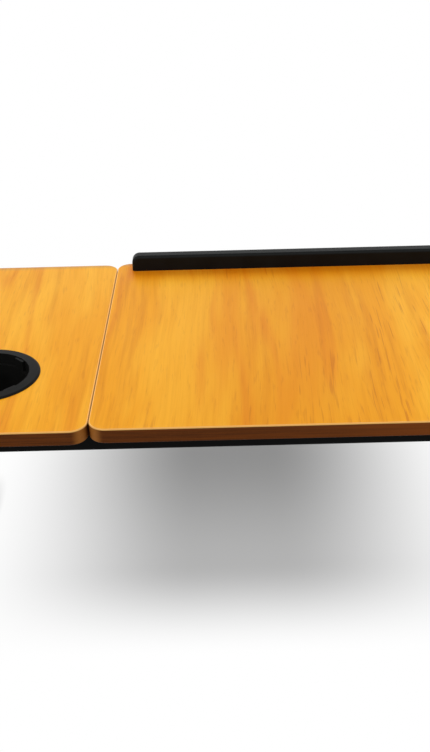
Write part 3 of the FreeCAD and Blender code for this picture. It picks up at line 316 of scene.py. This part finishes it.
# Where the painted highlight on the corner arcs starts and is full, where the brown turns lighter along X, and
# where the painted shade on the far rim starts and is full.
CORNER_LIGHT_FROM, CORNER_LIGHT_TO = 0.12 * CORNER_ROUND, 0.68 * CORNER_ROUND
LIGHTENS_FROM, LIGHTENS_TO = -0.05, 0.32
FAR_SHADE_FROM, FAR_SHADE_TO = 4.0 * MM, 1.0 * MM
SPECKLE_WAVES, LINE_WAVES = (900.0, 900.0, 2600.0), (22.0, 22.0, 900.0)
# The paler corner tone is a painted highlight, and the darker rim tone is a painted shade.
STRIP = palette(brown=(106, 54, 15), umber=(81, 41, 11), faded=(140, 72, 24), speck=(126, 70, 30),
                stretched=(170, 108, 46), pale=(252, 192, 110), rubbed=(178, 124, 76))


def edge_band(name, low, high):
    """A brown strip with a pale rim, a painted highlight on the corner arcs and a painted shade on the far rim.

    How far a place is into a corner is the lesser of its ways, along X and along Y, past the start of the arc.
    """
    finish = Finish(name, Specular_IOR_Level=0.08)
    spots = [finish.axis(i) for i in range(3)]
    ways = [abs(spots[i] - (low[i] + high[i]) / 2) - ((high[i] - low[i]) / 2 - CORNER_ROUND) for i in (0, 1)]
    # Painted highlight on the arcs of the corners.
    painted_corner_light = finish.between(spots[0].math("MINIMUM", *ways), CORNER_LIGHT_FROM, CORNER_LIGHT_TO)
    speckle = finish.noise(finish.stretched(SPECKLE_WAVES), 1.0)
    lines = finish.noise(finish.stretched(LINE_WAVES), 1.0, 3.0)
    rim = finish.between(spots[2] + (speckle - 0.5) * RIM_WAVER, high[2] - RIM, high[2] - 0.6 * RIM)
    # Painted shade: the pale rim turns darker towards the far side.
    rubbed = finish.between(spots[1], high[1] - FAR_SHADE_FROM, high[1] - FAR_SHADE_TO)
    shares = [
        (finish.between(lines, 0.35, 0.68), "umber"),
        # The brown turns lighter towards the right end.
        (finish.between(spots[0], LIGHTENS_FROM, LIGHTENS_TO), "faded"),
        (finish.between(speckle, 0.55, 0.75) * 0.4, "speck"),
        (painted_corner_light * (0.60 + speckle * 0.6), "stretched"),
    ]
    tone = STRIP["brown"]
    for share, tint in shares:
        tone = finish.mix(share, tone, STRIP[tint])
    tone = finish.mix(rim, tone, finish.mix(rubbed, STRIP["pale"], STRIP["rubbed"]))
    normal = finish.bump(lines, 0.12, 0.2 * MM)
    return finish.feed(Base_Color=tone, Roughness=0.36 + speckle * 0.16, Normal=normal)


for board in ("side", "main"):
    band = f"{board}_edge_band"
    dress(edge_band(band, *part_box(band)), band)

# %% [markdown]
# ## Black finishes
# Several blacks meet on this table and they must not look the same. Powder coat has an orange-peel skin, the
# stop bar a fine moulded texture, the nylon fittings a greyer sheen, rubber is dull and dusty, and the
# buttons are satin grey. All are one recipe with other numbers: a cloudy tone, a bump of a given grain, and a
# roughness that drifts.

# %% Coat, plastic and rubber
CLOUD_WAVES, CLOUD_PEAKS = (40.0, 40.0, 40.0), (0.3, 0.7)
DUST_COARSE, DUST_PEAKS, DUST_SHARE, DUST_LIFT = 0.7, (0.60, 0.78), 0.2, 18
PEEL_STRENGTH = 0.35


def dark_skin(name, dark, light, grain, depth, rough, drift, specular):
    """Two near tones in clouds, a bump of so many grains per metre, and a drifting roughness."""
    finish = Finish(name, Specular_IOR_Level=specular)
    clouds = finish.noise(finish.stretched(CLOUD_WAVES), 1.0, 3.0)
    peel = finish.noise(finish.place(), grain, 2.0, 0.6)
    dust = finish.between(finish.noise(finish.place(), grain * DUST_COARSE, 1.0), *DUST_PEAKS)
    tone = finish.mix(finish.between(clouds, *CLOUD_PEAKS), linear(*dark), linear(*light))
    tone = finish.mix(dust * DUST_SHARE, tone, linear(*(shade + DUST_LIFT for shade in light)))
    normal = finish.bump(peel, PEEL_STRENGTH, depth)
    return finish.feed(Base_Color=tone, Roughness=rough + (clouds - 0.5) * drift, Normal=normal)


LEG_SIDES = ("left", "right")
CORNERS = ("near_left", "far_left", "near_right", "far_right")
coat = dark_skin("black_powder_coat", dark=(7, 7, 7), light=(12, 12, 11), grain=900.0, depth=0.15 * MM,
                 rough=0.50, drift=0.10, specular=0.05)
dress(coat, "near_rail", "far_rail", "left_crossbar", "seam_crossbar", "right_crossbar",
      *(f"{side}_{piece}" for side in LEG_SIDES for piece in ("outer_tubes", "spreader", "inner_leg")))
plastic = dark_skin("moulded_black_plastic", dark=(11, 13, 13), light=(16, 18, 18), grain=2200.0,
                    depth=0.08 * MM, rough=0.42, drift=0.14, specular=0.09)
dress(plastic, "rail_end_caps", "stop_bar")
fittings = dark_skin("glass_filled_nylon", dark=(22, 22, 23), light=(31, 31, 32), grain=1200.0,
                     depth=0.12 * MM, rough=0.46, drift=0.16, specular=0.3)
dress(fittings, "left_tilt_rack", "right_tilt_rack", "prop_saddles",
      *(f"{corner}_{piece}" for corner in CORNERS for piece in ("leg_bracket", "clamp_lever")),
      *(f"{side}_{piece}" for side in LEG_SIDES for piece in ("leg_knuckles", "clamp_collars", "glide_bushes")))
well = dark_skin("cup_well_plastic", dark=(17, 17, 16), light=(24, 24, 23), grain=1500.0, depth=0.06 * MM,
                 rough=0.40, drift=0.12, specular=0.05)
dress(well, "cup_holder")
rubber = dark_skin("dull_rubber", dark=(24, 23, 22), light=(36, 34, 33), grain=1300.0, depth=0.2 * MM,
                   rough=0.80, drift=0.10, specular=0.2)
dress(rubber, "panel_bumpers")
satin_grey = dark_skin("satin_button_plastic", dark=(58, 59, 62), light=(70, 71, 74), grain=1700.0,
                       depth=0.06 * MM, rough=0.38, drift=0.10, specular=0.35)
dress(satin_grey, *(f"{corner}_fold_button" for corner in CORNERS))

# %% [markdown]
# ## Plated steel
# Hinges, pins, screws and the prop rod are steel with a thin zinc coat. It is not a mirror: the bath leaves
# soft patches of blue-grey and straw, and handling leaves hair scratches. Metallic is one number for the
# whole piece; only tone, roughness and bump change.

# %% Zinc finish
PATCHES_PER_METRE, SCRATCH_WAVES = 120.0, (300.0, 4000.0, 4000.0)
ZINC = palette(blue_grey=(176, 180, 186), straw=(196, 192, 180), scratch=(120, 122, 126))


def zinc():
    """Soft patches between two tones, with hair scratches over them."""
    finish = Finish("zinc_plate", Metallic=1.0)
    patches = finish.noise(finish.place(), PATCHES_PER_METRE, 3.0, 0.6)
    scratches = finish.noise(finish.stretched(SCRATCH_WAVES), 1.0)
    tone = finish.mix(finish.between(patches, 0.3, 0.7), ZINC["blue_grey"], ZINC["straw"])
    tone = finish.mix(finish.between(scratches, 0.6, 0.75) * 0.35, tone, ZINC["scratch"])
    gloss = 0.26 + patches * 0.16 + scratches * 0.06
    return finish.feed(Base_Color=tone, Roughness=gloss, Normal=finish.bump(scratches, 0.08, 0.1 * MM))


plated = zinc()
dress(plated, "frame_hinge_leaves", "panel_hinge_leaves", "hinge_pins", "leg_pivot_pins", "tilt_prop",
      "left_lever_pins", "right_lever_pins")

# %% [markdown]
# ## From a grid of points to a closed skin
# The small pieces below are all rings of points, one ring after another: a screw is rings round its axis, a
# weld bead is rings along its path. Joining neighbouring rings with quads and filling the first and last ring
# gives a skin with no holes. Whether the faces look outwards can be seen from the volume that they enclose:
# if it is negative, they are turned.

# %% Closed skins
SHARP = math.radians(38)


def skin(name, points, material, body):
    """Builds points[copy, ring, step, xyz] as closed skins: quads from ring to ring, a face on both end rings."""
    copies, rings, steps = points.shape[:3]
    index = np.arange(copies * rings * steps).reshape(copies, rings, steps)
    ahead = np.roll(index, -1, axis=2)
    quads = np.stack([index[:, :-1], ahead[:, :-1], ahead[:, 1:], index[:, 1:]], axis=-1).reshape(-1, 4)
    ends = np.concatenate([index[:, 0, ::-1], index[:, -1]])
    spots = points.reshape(-1, 3)
    local = spots - spots.mean(axis=0)
    fans = [(quads[:, :1], quads[:, 1:-1], quads[:, 2:]), (ends[:, :1], ends[:, 1:-1], ends[:, 2:])]
    volume = sum((np.cross(local[a], local[b]) * local[c]).sum() for a, b, c in fans) / 6
    if volume < 0:
        quads, ends = quads[:, ::-1], ends[:, ::-1]
    mesh = bpy.data.meshes.new(name)
    mesh.from_pydata(spots.tolist(), [], quads.tolist() + ends.tolist())
    mesh.shade_smooth()
    mesh.set_sharp_from_angle(angle=SHARP)
    mesh.materials.append(material)
    piece = bpy.data.objects.new(name, mesh)
    bpy.context.scene.collection.objects.link(piece)
    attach(piece, body)
    print(f"{name}: {copies} x {rings * steps} points, {abs(volume) / MM ** 3:.0f} cubic mm")
    return piece


# %% [markdown]
# ## Cross-head screws
# The solids have plain pan heads. A real one is domed and has a cross pressed into it. The dome is a
# superellipse turned round the axis, and the recess is pushed in wherever a point lies in one of the two arms
# of the cross. A boolean could cut the cross, but moving points keeps clean quads, and one screw serves for
# all of them.

# %% One screw
HEAD_RADIUS, HEAD_HEIGHT, SHANK_RADIUS = 3.0 * MM, 1.8 * MM, 1.6 * MM
ARM_REACH, ARM_HALF_WIDTH, RECESS, RECESS_EDGE = 1.75 * MM, 0.42 * MM, 1.15 * MM, 0.22 * MM
PAN_POWER, FIRST_RING, RECESS_RISE = 2.6, 0.03, 0.4
HEAD_RINGS, SCREW_STEPS = 26, 48


def cross_head_screw(length):
    """A screw along +Z with its head's seat at z = 0 and its crown below.

    The crown is a superellipse, (r / R)^p + (z / H)^p = 1, with r = R sin(slope). A point's depth in the recess
    is one where it lies inside an arm, falls to nought over the recess edge, and lessens towards the tips. Then
    come the seat, the straight shank and a blunt point.
    """
    slope = np.linspace(FIRST_RING, 1.0, HEAD_RINGS) * np.pi / 2
    radius = HEAD_RADIUS * np.sin(slope)
    height = -HEAD_HEIGHT * np.clip(1 - np.sin(slope) ** PAN_POWER, 0, 1) ** (1 / PAN_POWER)
    radius = np.concatenate([radius, [SHANK_RADIUS, SHANK_RADIUS, SHANK_RADIUS / 3]])
    height = np.concatenate([height, [0, length - SHANK_RADIUS, length]])
    angle = np.linspace(0, 2 * np.pi, SCREW_STEPS, endpoint=False)
    x, y = radius[:, None] * np.cos(angle), radius[:, None] * np.sin(angle)

    def inside(lengthwise, crosswise):
        """One within an arm of the cross, and nought outside it."""
        depth = np.minimum(ARM_REACH - abs(lengthwise), ARM_HALF_WIDTH - abs(crosswise))
        return np.clip(depth / RECESS_EDGE + 0.5, 0, 1)

    pressed = RECESS * np.maximum(inside(x, y), inside(y, x)) * (1 - RECESS_RISE * radius[:, None] / ARM_REACH)
    crown = np.arange(len(radius))[:, None] < HEAD_RINGS
    z = height[:, None] + np.where(crown, pressed, 0)
    return np.stack([x, y, np.broadcast_to(z, x.shape)], axis=-1)


# %% Screws in their holes
LEAF_PITCH, BOLT_PITCH, RACK_SCREW_LENGTH = 36 * MM, 16 * MM, 20 * MM


def seats(xs, ys, zs):
    """Every combination of the given places, as rows of x, y and z."""
    return np.stack(np.meshgrid(xs, ys, zs, indexing="ij"), axis=-1).reshape(-1, 3)


def put_screws(node, body, parts):
    """Replaces a node's plain screws. Each part is the seats, the shank's axis, its sense and its length."""
    copies = []
    for places, axis, sense, length in parts:
        screw = np.roll(cross_head_screw(length), axis + 1, axis=-1)
        screw[..., axis] *= sense
        copies.append(places[:, None, None] + screw)
    piece = skin(f"cross_head_{node}", np.concatenate(copies), plated, body)
    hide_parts(node)


def rows_of(node, pitch=None, middle=False):
    """The outermost screws of a node along X and Y, and inner ones at a pitch from them or halfway."""
    low, high = (np.array(corner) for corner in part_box(node))
    first, last = low + HEAD_RADIUS, high - HEAD_RADIUS
    inner = [(first[0] + last[0]) / 2] if middle else []
    inner += [first[0] + pitch, last[0] - pitch] if pitch else []
    ys = [first[1], last[1]] if last[1] - first[1] > HEAD_RADIUS else [(first[1] + last[1]) / 2]
    return [first[0], *inner, last[0]], ys, low, high


UPWARD_SCREWS = {"side_board_screws": ("frame", {}), "stop_bar_screws": ("main_panel", {"middle": True}),
                 "saddle_screws": ("main_panel", {}), "panel_hinge_screws": ("main_panel", {"pitch": LEAF_PITCH}),
                 "bracket_bolts": ("frame", {"pitch": BOLT_PITCH})}
for node, (body, pattern) in UPWARD_SCREWS.items():
    xs, ys, low, high = rows_of(node, **pattern)
    seat = low[2] + HEAD_HEIGHT
    put_screws(node, body, [(seats(xs, ys, [seat]), 2, 1, high[2] - seat)])

xs, _, low, high = rows_of("frame_hinge_screws", pitch=LEAF_PITCH)
seat, level = high[1] - HEAD_HEIGHT, [(low[2] + high[2]) / 2]
put_screws("frame_hinge_screws", "frame", [(seats(xs, [seat], level), 1, -1, seat - low[1])])

_, ys, low, high = rows_of("rack_screws")
level = [(low[2] + high[2]) / 2]
put_screws("rack_screws", "frame", [
    (seats([low[0] + RACK_SCREW_LENGTH], ys, level), 0, -1, RACK_SCREW_LENGTH),
    (seats([high[0] - RACK_SCREW_LENGTH], ys, level), 0, 1, RACK_SCREW_LENGTH),
])

# %% [markdown]
# ## Weld beads
# The crossbars are welded to the rails, and a weld leaves a rippled bead like a row of tipped coins. It is a
# round section carried along a path: down one side of the crossbar, round its lower corners and up the other
# side. The ripple is in the radius, which swells and dips along the way, and the bead thins out to nothing at
# both ends.

# %% Beads round the crossbars
BEAD_RADIUS, COIN_PITCH, RIPPLE, BEAD_TIP = 1.9 * MM, 2.3 * MM, 0.22, 0.02
TUBE_ROUND, RING_STEP, BEAD_STEPS = 2.0 * MM, 0.35 * MM, 12


def trough(low, high):
    """Points x, z and the outward way along the sides and the underside of a tube, evenly spaced.

    The way turns by a half circle in all: it looks left down the first side, swings down over a corner's quarter
    arc, and ends looking right. Places are the integral of the way turned by a right angle.
    """
    side, base = high[2] - low[2] - TUBE_ROUND, high[0] - low[0] - 2 * TUBE_ROUND
    corner = TUBE_ROUND * np.pi / 2
    stops = np.cumsum([0, side, corner, base, corner, side])
    along = np.linspace(0, stops[-1], int(stops[-1] / RING_STEP))
    turned = np.interp(along, stops, np.radians([180, 180, 270, 270, 360, 360]))
    way = np.stack([np.cos(turned), np.sin(turned)], axis=-1)
    stride = np.stack([-way[:, 1], way[:, 0]], axis=-1) * (along[1] - along[0])
    places = np.array([low[0], high[2]]) + np.cumsum(stride, axis=0) - stride[0]
    return along, places, way


def weld_bead(low, high, y):
    """Rings round the line where a crossbar meets a rail at y.

    The radius is R (1 - ripple + ripple |sin(pi s / pitch)|), times a quarter circle's rise at both ends.
    """
    along, places, way = trough(low, high)
    ends = np.minimum(along, along[-1] - along) / BEAD_RADIUS
    taper = np.sqrt(np.clip(1 - (1 - np.clip(ends, BEAD_TIP, 1)) ** 2, 0, 1))
    radius = BEAD_RADIUS * taper * (1 - RIPPLE + RIPPLE * abs(np.sin(np.pi * along / COIN_PITCH)))
    angle = np.linspace(0, 2 * np.pi, BEAD_STEPS, endpoint=False)
    out, sideways = radius[:, None] * np.cos(angle), radius[:, None] * np.sin(angle)
    x = places[:, :1] + out * way[:, :1]
    z = places[:, 1:] + out * way[:, 1:]
    return np.stack([x, y + sideways, z], axis=-1)


for bar in ("left", "seam", "right"):
    low, high = (np.array(corner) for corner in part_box(f"{bar}_crossbar"))
    beads = np.stack([weld_bead(low, high, end[1]) for end in (low, high)])
    skin(f"{bar}_weld_beads", beads, coat, "frame")

# %% [markdown]
# ## Thumb grips
# The clamp levers are smooth bands, and a thumb would slip off them. Such levers have a ribbed patch near
# their free end. It is rings along the curve of the band, each ring a rounded slab, and the slab's height
# rises and falls to make the ribs. Four corners of the table need four mirror images, which is a change of
# sign.

# %% Ribbed patches
GRIP_FROM, GRIP_TO, GRIP_RIBS = math.radians(143), math.radians(186), 6
GRIP_BASE, GRIP_RISE, GRIP_MARGIN, GRIP_SINK = 0.35 * MM, 0.75 * MM, 2.2 * MM, 0.4 * MM
GRIP_RINGS, GRIP_STEPS, SLAB_POWER = 97, 28, 0.45


def thumb_grip(axis_x, axis_y, radius, low_z, high_z):
    """Rings round a slab on a band's outer face, for the near left corner; the others are its mirror images.

    A ring's height is cos(v)^q and its depth sin(v)^q, a rounded slab. The depth swells with ribs,
    (1 - cos) / 2, along the curve and goes down to the band at both ends.
    """
    share = np.linspace(0, 1, GRIP_RINGS)
    angle = GRIP_FROM + (GRIP_TO - GRIP_FROM) * share
    ends = np.clip(np.minimum(share, 1 - share) * 2 * GRIP_RIBS, 0, 1)
    depth = (GRIP_BASE + GRIP_RISE * (1 - np.cos(2 * np.pi * GRIP_RIBS * share)) / 2) * np.sqrt(ends)
    around = np.linspace(0, 2 * np.pi, GRIP_STEPS, endpoint=False)
    slab = np.sign(np.sin(around)) * abs(np.sin(around)) ** SLAB_POWER
    outside = np.where(slab > 0, depth[:, None] * slab, GRIP_SINK * slab)
    half = (high_z - low_z) / 2 - GRIP_MARGIN
    upright = half * np.sign(np.cos(around)) * abs(np.cos(around)) ** SLAB_POWER
    reach = radius + outside
    x = axis_x + np.sign(axis_x) * -np.cos(angle)[:, None] * reach
    y = axis_y + np.sign(axis_y) * -np.sin(angle)[:, None] * reach
    z = np.broadcast_to((low_z + high_z) / 2 + upright, x.shape)
    return np.stack([x, y, z], axis=-1)[None]


LEVER_BAND = 17.6 * MM
for corner in CORNERS:
    lever_low, lever_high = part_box(f"{corner}_clamp_lever")
    side = corner.split("_")[1]
    tube_low, tube_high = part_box(f"{side}_outer_tubes")
    rail_low, rail_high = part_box("near_rail" if corner.startswith("near") else "far_rail")
    leg_x, leg_y = (tube_low.x + tube_high.x) / 2, (rail_low.y + rail_high.y) / 2
    grip = thumb_grip(leg_x, leg_y, LEVER_BAND, lever_low.z, lever_high.z)
    skin(f"{corner}_thumb_grip", grip, rubber, f"{corner}_lever")

# %% [markdown]
# ## Treaded feet
# The feet are rubber shoes round the leg's bar. The solids are plain arches; a moulded shoe has grooves
# across its sole and a raised ring near each end. Rings of points run along the foot, every ring the arch's
# outline. Where a groove passes, the sole's points are lifted, and where a ring passes, the outline grows.

# %% Rubber shoes
SOLE_HALF, BAR_LEVEL, FOOT_LENGTH = 13.0 * MM, 12.0 * MM, 44.0 * MM
GROOVE_PITCH, GROOVE_DEPTH, GROOVE_SHARE = 5.5 * MM, 1.3 * MM, 0.34
BEAD_PLACE, BEAD_HALF, BEAD_RISE, FOOT_ROUND = 16.5 * MM, 1.6 * MM, 0.6 * MM, 1.5 * MM
FOOT_RINGS, CROWN_STEPS, WALL_STEPS, SOLE_STEPS, GROOVE_EDGE = 177, 25, 5, 14, 0.1


def shoe(x, y):
    """Rings along Y round an arch: a half circle over upright sides and a flat sole.

    The outline is scaled about the bar's middle by 1 - (rounding at the ends) + (two raised rings), and no point
    of the sole lies lower than the groove over it.
    """
    arc = np.linspace(0, np.pi, CROWN_STEPS)
    crown = np.stack([SOLE_HALF * np.cos(arc), SOLE_HALF * np.sin(arc)], axis=-1)
    wall = np.linspace(0, -BAR_LEVEL, WALL_STEPS)[1:]
    left = np.stack([np.full(wall.shape, -SOLE_HALF), wall], axis=-1)
    tread = np.linspace(-SOLE_HALF, SOLE_HALF, SOLE_STEPS)[1:-1]
    sole = np.stack([tread, np.full(tread.shape, -BAR_LEVEL)], axis=-1)
    right = np.stack([np.full(wall.shape, SOLE_HALF), wall[::-1]], axis=-1)
    outline = np.concatenate([crown, left, sole, right])
    along = np.linspace(-FOOT_LENGTH / 2, FOOT_LENGTH / 2, FOOT_RINGS)
    over_end = np.clip(abs(along) - FOOT_LENGTH / 2 + FOOT_ROUND, 0, FOOT_ROUND)
    rounding = FOOT_ROUND - np.sqrt(FOOT_ROUND ** 2 - over_end ** 2)
    ring = BEAD_RISE * np.sqrt(np.clip(1 - ((abs(along) - BEAD_PLACE) / BEAD_HALF) ** 2, 0, 1))
    scale = 1 + (ring - rounding) / SOLE_HALF
    wave = abs((along / GROOVE_PITCH + 0.5) % 1 - 0.5) * 2
    groove = GROOVE_DEPTH * np.clip((GROOVE_SHARE - wave) / GROOVE_EDGE + 0.5, 0, 1)
    shape = outline[None] * scale[:, None, None]
    z = np.maximum(BAR_LEVEL + shape[..., 1], groove[:, None])
    return np.stack([x + shape[..., 0], np.broadcast_to(y + along[:, None], z.shape), z], axis=-1)


for side in LEG_SIDES:
    low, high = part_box(f"{side}_foot_pads")
    feet = [shoe((low.x + high.x) / 2, y) for y in (low.y + FOOT_LENGTH / 2, high.y - FOOT_LENGTH / 2)]
    shoes = skin(f"{side}_treaded_feet", np.stack(feet), rubber, f"{side}_leg_slide")
    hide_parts(f"{side}_foot_pads")

# %% [markdown]
# ## Floor and light
# The table stands on pale grey paper that keeps a soft shadow. A big lamp would light the paper unevenly, so
# the light is a pale sky and wide suns, which reach every spot alike. More light would only burn out the
# wood, so the paper is made white for the eye alone: away from the table it glows just enough to be white.
# Where the glow is held back, the grey paper shows, so the shape of that patch is painted shadow on top of
# the real one: it darkens towards the back under the table and makes soft patches round the feet. The
# strongest sun stands low behind the stop bar and gives it its long shade. It is left out of reflections,
# where its image would lie on the wood as a milky patch.

# %% White paper
FLOOR_HALF = 12.0
# Where the painted shadow under the table sits, how far it reaches, how it deepens, and its patches round the
# feet.
SHADE_AT, SHADE_HALF, SHADE_REACH, SHADE_NEAR = 0.006, 0.04, 0.29, 0.78
NEAR_FADE, DEEPENING, FAR_FADE = (-0.15, -0.02), (-0.02, 0.20), (0.30, 0.60)
FOOT_BAR_AT, FOOT_REACH, FOOT_FADE, FOOT_SHADE = 0.276, 0.030, (0.08, 0.16), 0.7
PAPER = palette(dull=(176, 176, 176), clear=(180, 180, 180))
scene = bpy.context.scene
scene.view_settings.view_transform = "Standard"

floor_mesh = bpy.data.meshes.new("white_paper")
paper_corners = np.array([(-1, -1, 0), (1, -1, 0), (1, 1, 0), (-1, 1, 0)]) * FLOOR_HALF
floor_mesh.from_pydata(paper_corners.tolist(), [], [(0, 1, 2, 3)])
floor = bpy.data.objects.new("white_paper", floor_mesh)
scene.collection.objects.link(floor)

paper = Finish("white_paper", Roughness=1.0, Specular_IOR_Level=0.0)
mottle = paper.noise(paper.place(), 3.0, 3.0)
paper.feed(Base_Color=paper.mix(mottle, PAPER["dull"], PAPER["clear"]))
sideways, depthways = abs(paper.axis(0) - SHADE_AT), paper.axis(1)
# Painted shadow: where this mask is high the glow is held back and the grey paper shows, darker towards the back.
shaded = 1 - paper.between(sideways, SHADE_HALF, SHADE_REACH)
shaded = shaded * paper.between(depthways, *NEAR_FADE) * (1 - paper.between(depthways, *FAR_FADE))
shaded = shaded * (SHADE_NEAR + (1 - SHADE_NEAR) * paper.between(depthways, *DEEPENING))
from_bar = abs(abs(paper.axis(0)) - FOOT_BAR_AT)
# Painted shadow round each foot.
painted_foot_shade = (1 - paper.between(from_bar, 0.0, FOOT_REACH)) * (1 - paper.between(abs(depthways), *FOOT_FADE))
shaded = shaded.math("MAXIMUM", shaded, painted_foot_shade * FOOT_SHADE)
glow = paper.add("ShaderNodeEmission", None, {"Strength": 1.0})
lit = Socket(paper, paper.shader.outputs[0])
surface = paper.add("ShaderNodeMixShader", None, {0: paper.seen() * (1 - shaded), 1: lit, 2: glow})
paper.set(paper.tree.nodes["Material Output"].inputs["Surface"], surface)
floor_mesh.materials.append(paper.material)
print("paper", 2 * FLOOR_HALF, "m wide")

# %% Sky and suns
SKY = 0.39
world = bpy.data.worlds.new("studio")
scene.world = world
world.use_nodes = True
sky = Nodes(world.node_tree)
backdrop = world.node_tree.nodes["Background"]
backdrop.inputs["Color"].default_value = (1, 1, 1, 1)
sky.set(backdrop.inputs["Strength"], SKY + sky.seen() * (1 - SKY))


def sun(name, strength, spread, tilt, round_from_x, mirrored=True):
    """A lamp as wide as `spread` degrees, tilted from overhead towards a compass angle; glare can be left out."""
    data = bpy.data.lights.new(name, "SUN")
    data.energy = strength
    data.angle = math.radians(spread)
    lamp = bpy.data.objects.new(name, data)
    lean_over = Matrix.Rotation(math.radians(tilt), 4, "Y")
    lamp.matrix_world = Matrix.Rotation(math.radians(round_from_x), 4, "Z") @ lean_over
    lamp.visible_glossy = mirrored
    scene.collection.objects.link(lamp)


sun("front_soft_light", strength=0.62, spread=50, tilt=45, round_from_x=-90)
sun("back_soft_light", strength=1.80, spread=50, tilt=60, round_from_x=90, mirrored=False)
sun("left_soft_light", strength=0.45, spread=40, tilt=52, round_from_x=205)
sun("right_soft_light", strength=0.22, spread=40, tilt=40, round_from_x=-35)
print("lamps", len(bpy.data.lights))
